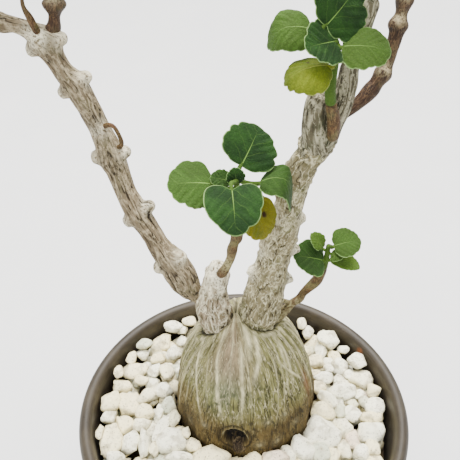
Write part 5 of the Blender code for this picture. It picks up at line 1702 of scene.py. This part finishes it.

        # Mask at the margin for its pale hairs and their painted sheen.
        rim_sheen = both(np.repeat(ease(0.955, 1.0, out)[:, None], columns, axis=1))
        spot = np.zeros(s.shape)
        for x, y, size in self.spots:
            spot = np.maximum(spot, 1 - ease(0.5, 1.1, np.hypot(s - x, (v - y) * 0.5) / size))
        own = np.stack([s, v, np.where(v > 0, 0.18, 0.5)], axis=-1)
        full = np.ones(grid.shape[:2])
        under_side = 0.8 * full * (np.arange(len(grid)) >= rows)[:, None]
        values = {
            "leaf": both(own), "rim_sheen": rim_sheen, "spot": both(spot), "blade": full, "young": full * self.young,
            "age": full * self.old, "under": under_side,
        }
        return closed_surface(grid, values)

    def stalk(self, root: np.ndarray, thick: float = 0.7) -> Patch:
        """The stalk, from the stem to a fifth of the way into the blade.

        Args:
            root: Where it starts, in millimetres.
            thick: Its radius at the root, in millimetres.

        Returns:
            Its closed surface.
        """
        base, tip = np.array(self.base, float), np.array(self.tip, float)
        end = self.placed(np.array([0.20]), np.array([0.0]))[0] / MM
        up = unit(np.array(self.normal, float))
        sag = 0.5 * (root + base) - 0.12 * np.linalg.norm(base - root) * up
        rows = [(*root, thick), (*sag, 0.95 * thick), (*(base - 0.25 * up), 0.85 * thick), (*(end - 0.15 * up), 0.35)]
        return Stem(rows, Bark.GREEN, self.seed + 50, 0.3 * MM, tone=0.5).surface()


@dataclass
class Tuft:
    """A green stem with its stalked leaves, standing for one node."""

    node: str
    stem: Sequence[Row]
    leaves: Sequence[Leaf]
    finish: LeafFinish = GREEN_LEAF
    slot: str = "leaf_green"
    detail: tuple[int, int] = (15, 110)
    young_stem: float = 0.55

    def dressed(self, patch: Patch, young: float, old: float = 0.0) -> Patch:
        """A stalk or stem with the values that the leaf's finish reads."""
        count = len(patch.points)
        patch.values = {
            "leaf": np.zeros((count, 3)), "rim_sheen": np.zeros(count), "spot": np.zeros(count), "blade": np.zeros(count),
            "young": np.full(count, young), "age": np.full(count, old), "under": np.zeros(count),
        }
        return patch

    def build(self) -> None:
        """Blades, stalks and stem as one piece."""
        nodes = np.array(self.stem, float)[:, :3]
        patches = []
        if len(self.stem) > 1:
            patches.append(self.dressed(Stem(self.stem, Bark.GREEN, 3, 0.3 * MM).surface(), self.young_stem))
        for leaf in self.leaves:
            base = np.array(leaf.base)
            rest = nodes[1:] if len(nodes) > 1 else nodes
            root = rest[np.argmin(np.linalg.norm(rest - base, axis=1))]
            length = np.linalg.norm(np.array(leaf.tip) - base)
            rows, columns = self.detail if length > 6.5 else (9, 60)
            patches.append(leaf.surface(rows, columns))
            patches.append(self.dressed(leaf.stalk(root, 0.75 if length > 6.5 else 0.5), 0.5 + 0.4 * leaf.young, leaf.old))
        add_piece(self.node + "_piece", grown(joined(patches)), self.finish.material(), (self.node,))


def tip_tuft(node: str, foot: Point, direction: Point, length: float, turn: float, seed: int) -> Tuft:
    """A leafy tip of three crossed pairs that shorten towards the apex.

    Args:
        node: The node that it stands for.
        foot: Where its stem starts, in millimetres.
        direction: Which way it grows.
        length: Length of its largest leaves.
        turn: Turn of the first pair.
        seed: Chooses the leaves' edges.

    Returns:
        The tuft.
    """
    axis = unit(np.array(direction, float))
    lean = np.abs(axis)
    sideways = unit(np.cross(axis, np.eye(3)[int(np.argmin(lean))]))
    stem, leaves = [], []
    for pair in range(4):
        level = np.array(foot) + axis * 12.0 * pair / 3
        stem.append((*level, 1.2 - 0.15 * pair))
        if pair == 0:
            continue
        size = length * (1.0, 0.8, 0.45)[pair - 1]
        rise = (0.10, 0.35, 0.8)[pair - 1]
        for half in (0, 1):
            angle = turn + pair * math.pi / 2 + half * math.pi
            out = sideways * math.cos(angle) + np.cross(axis, sideways) * math.sin(angle)
            out = unit(out + axis * rise)
            up = unit(axis - axis.dot(out) * out)
            start = level + out * (0.22 * size + 0.8)
            leaves.append(Leaf(
                tuple(start), tuple(start + out * size), size * 0.96, tuple(up), 0.08, -6, -6,
                margin=(Margin.LOBED, Margin.WAVY)[half], heart=0.12, droop=0.15, seed=seed + 7 * pair + half,
                young=(0.0, 0.2, 0.6)[pair - 1],
            ))
    return Tuft(node, stem, leaves, detail=(12, 80))


def leafy_shoots() -> list[Tuft]:
    """The three shoots that the photograph shows, their two fading leaves, and the four unseen tips."""
    trunk = Tuft(
        "leaves_trunk",
        ((20.3, -5.0, 213.4, 1.4), (19.8, -5.6, 218, 1.4), (20.2, -5.8, 224, 1.1), (20.4, -6.6, 229, 0.9),
         (19, -7.4, 232, 0.8)),
        (
            Leaf((14.6, -4.4, 232.6), (3.0, -6.4, 232.4), 11, (0.1, -0.35, 0.93), 0.16, -20, 10,
                 Margin.WAVY, heart=0.1, droop=0.5, roll=0.2, young=0.35, seed=2),
            Leaf((20.0, -8.3, 231.8), (12.0, -13.6, 232.8), 12.0, (0.22, -0.62, 0.75), 0.05, 8, 8,
                 Margin.WAVY, heart=0.12, cuts=((38, 0.14, 7), (72, 0.12, 7), (-40, 0.12, 7), (-84, 0.10, 6), (110, 0.08, 6)),
                 seed=3),
            Leaf((16.3, -8.4, 235.0), (24.9, 2, 241.0), 15.8, (0.52, -0.69, 0.50), 0.06, 6, 6,
                 Margin.LOBED, heart=0.1, cuts=((-42, 0.08, 5), (-70, 0.08, 5), (-98, 0.07, 5), (30, 0.05, 5)), seed=4),
            Leaf((20.8, -9, 230.7), (32.6, -12, 231.3), 12.6, (-0.15, -0.43, 0.89), 0.08, -4, -10,
                 Margin.WAVY, heart=0.05, droop=0.15, young=0.4, cuts=((-75, 0.08, 7), (-108, 0.08, 7)), seed=5),
        ),
    )
    stub = Tuft(
        "leaves_stub",
        ((-3.0, -8.0, 175.7, 1.3), (-3.4, -8.5, 182.7, 1.0), (-3.3, -8.6, 188, 0.9), (-3.0, -8.6, 191.5, 0.8)),
        (
            Leaf((-2.4, -7.2, 194.4), (2.9, 3, 200.8), 16.4, (0.38, -0.57, 0.73), 0.06, 5, 5,
                 Margin.WAVY, heart=0.06, seed=11,
                 cuts=((84, 0.10, 6), (56, 0.07, 5), (117, 0.04, 5), (-54, 0.05, 5), (-90, 0.10, 6))),
            Leaf((-9.2, -9, 190.2), (-21.6, -12, 192.2), 14.8, (0.25, -0.39, 0.89), 0.08, -6, -6,
                 Margin.WAVY, heart=0.1, young=0.25, seed=12, spots=((0.35, 0.93, 0.03), (0.5, 0.97, 0.025), (0.62, 0.95, 0.02)),
                 cuts=((-100, 0.07, 6), (-51, 0.05, 5), (65, 0.06, 5), (84, 0.04, 4), (111, 0.07, 5))),
            Leaf((-4.7, -12, 192.7), (-3.5, -24.4, 185.2), 15.6, (0.08, -0.51, 0.86), 0.07, 6, 6,
                 Margin.ENTIRE, heart=0.26, cuts=((83, 0.07, 7), (37, 0.12, 8), (-48, 0.10, 22)), seed=13),
            Leaf((3.0, -8, 190.0), (14.0, -10, 188.6), 11, (0.16, 0.02, 0.98), 0.24, -24, 10,
                 Margin.WAVY, droop=0.8, young=0.15, seed=14),
            Leaf((-4.8, -9.0, 191.3), (-10.4, -9.4, 192.7), 5.6, (-0.1, -0.6, 0.8), 0.06, 8, 8, young=0.1, seed=15),
            Leaf((-3.2, -9.2, 190.6), (-4.0, -8.2, 195.4), 5.4, (0.1, -0.85, 0.5), 0.06, 8, 8, seed=16),
        ),
    )
    low = Tuft(
        "leaves_low",
        ((24.4, 3.8, 147.8, 1.2), (24.8, 3.4, 151.3, 1.0), (25.0, 3.2, 154.6, 0.8), (25.0, 3.2, 157, 0.7)),
        (
            Leaf((24.2, 2.6, 151.3), (14.2, 0, 155.8), 12.2, (0.52, -0.38, 0.77), 0.06, 5, 5,
                 Margin.WAVY, heart=0.12, young=0.1, seed=21),
            Leaf((26.4, 3.6, 156.4), (35.2, 5, 157.6), 10.8, (-0.01, -0.28, 0.96), 0.06, 6, 6,
                 Margin.WAVY, heart=0.1, young=0.3, seed=22),
            Leaf((26.0, 3.0, 151.5), (35.4, 2, 149.0), 7.2, (0.26, -0.10, 0.96), 0.08, 8, 8,
                 Margin.ENTIRE, young=0.9, seed=23),
            Leaf((23.6, 4.0, 155.4), (19.6, 5.6, 160.0), 5.6, (0.3, -0.5, 0.8), 0.05, 10, 10, young=0.6, seed=24),
            Leaf((26.0, 2.4, 154.6), (29.6, 0.0, 155.2), 5.2, (0.1, -0.5, 0.86), 0.05, 10, 10, young=0.4, seed=25),
        ),
    )
    yellow_trunk = Tuft(
        "yellow_leaf_trunk",
        ((19.83, -7.5, 225.8, 0.7),),
        (Leaf((18.8, -10.6, 226.6), (7.2, -14.6, 225.2), 11.6, (-0.05, -0.3, 0.95), 0.12, -25, -18,
              Margin.WAVY, roll=0.25, droop=0.3, spots=((0.42, -0.35, 0.04),), cuts=((6, 0.08, 6), (35, 0.10, 6)), seed=31),),
        YELLOW_LEAF, "leaf_yellow",
    )
    yellow_stub = Tuft(
        "yellow_leaf_stub",
        ((-2.2, -7.45, 183.8, 0.7),),
        (Leaf((0.2, -5.4, 183.2), (4.8, -8.4, 170.2), 11.4, (0.50, -0.80, 0.33), 0.10, 4, 4,
              Margin.WAVY, spots=((0.45, 0.3, 0.08),), old=0.6, seed=32),),
        YELLOW_LEAF, "leaf_yellow",
    )
    tips = (
        ("leaves_left_arm", (-70.4, 18.9, 239.2), (-0.1, -0.1, 1), 11.5),
        ("leaves_left_shoot", (-49.5, 24, 244.2), (0.1, 0.1, 1), 10.5),
        ("leaves_trunk_top", (30.1, -4.3, 257.2), (0.1, -0.2, 1), 12.5),
        ("leaves_side_branch", (66.6, 21.1, 253.8), (0.5, 0.1, 0.84), 13),
    )
    grown = [tip_tuft(*row, turn=0.5 + n, seed=40 + 10 * n) for n, row in enumerate(tips)]
    return [trunk, stub, low, yellow_trunk, yellow_stub, *grown]


# Studio


@dataclass
class Studio:
    """Camera at the photograph's angle, a plain pale floor and soft overhead light."""

    camera_place: Point = (-0.005, -0.178, 0.321)
    camera_tilt: float = 49.0
    lens: float = 62.6
    floor_half: float = 1.5

    def camera(self) -> None:
        """The camera, tilted down from above the pot's front."""
        data = bpy.data.cameras.new("camera")
        data.lens = self.lens
        data.sensor_width = 36
        data.clip_start = 0.01
        obj = bpy.data.objects.new("camera", data)
        obj.location = self.camera_place
        obj.rotation_euler = (math.radians(self.camera_tilt), 0, 0)
        bpy.context.scene.collection.objects.link(obj)
        bpy.context.scene.camera = obj

    def floor(self) -> None:
        """A flat square, a hair below the pot's foot."""
        half = self.floor_half
        mesh = bpy.data.meshes.new("floor")
        corners = [(-half, -half, -0.0002), (half, -half, -0.0002), (half, half, -0.0002), (-half, half, -0.0002)]
        mesh.from_pydata(corners, [], [(0, 1, 2, 3)])
        graph = Graph("floor")
        soft = graph.grain(graph.place, 40, 2)
        mesh.materials.append(graph.finish(graph.blend(soft, (0.60, 0.60, 0.59), (0.64, 0.64, 0.63)), 0.6))
        obj = bpy.data.objects.new("floor", mesh)
        bpy.context.scene.collection.objects.link(obj)

    def lamp(self, name: str, place: Point, aim: Point, size: float, power: float, tint: Colour) -> None:
        """One square soft light that faces a point."""
        data = bpy.data.lights.new(name, "AREA")
        data.shape = "SQUARE"
        data.size = size
        data.energy = power
        data.color = tint
        obj = bpy.data.objects.new(name, data)
        obj.location = place
        away = unit(np.array(place) - np.array(aim))
        lean = math.acos(away[2])
        heading = math.atan2(away[1], away[0]) + math.pi / 2
        obj.rotation_euler = (lean, 0, heading)
        bpy.context.scene.collection.objects.link(obj)

    def build(self) -> None:
        """Camera, floor, lights and a pale surrounding."""
        self.camera()
        self.floor()
        self.lamp("ceiling", (0.05, 0.25, 1.15), (0, 0, 0.1), 0.9, 60, (1.0, 0.98, 0.95))
        self.lamp("front", (-0.5, -0.9, 0.9), (0, 0, 0.12), 0.8, 15, (0.97, 0.99, 1.0))
        world = bpy.data.worlds.new("surrounding")
        world.use_nodes = True
        background = world.node_tree.nodes["Background"]
        background.inputs["Color"].default_value = (0.92, 0.95, 1.0, 1)
        background.inputs["Strength"].default_value = 1.25
        bpy.context.scene.world = world


def dress_solids() -> None:
    """Gives the soil and the drain mesh, whose shapes stay, their own finishes."""
    for node, finish in (("potting_soil", SoilFinish()), ("drain_mesh", PlasticMeshFinish())):
        material = finish.material()
        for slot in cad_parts[node].material_slots:
            slot.material = material
        LOG.info("%s: dressed", node)


def main() -> None:
    """Builds the studio and every sub-assembly in order."""
    Studio().build()
    pot = Pot()
    pot.build()
    Gravel(pot).build()
    dress_solids()
    Caudex().build()
    Wood().build()
    for tuft in leafy_shoots():
        tuft.build()


if __name__ == "__main__":
    logging.basicConfig(level=logging.INFO, format="%(message)s")
    main()
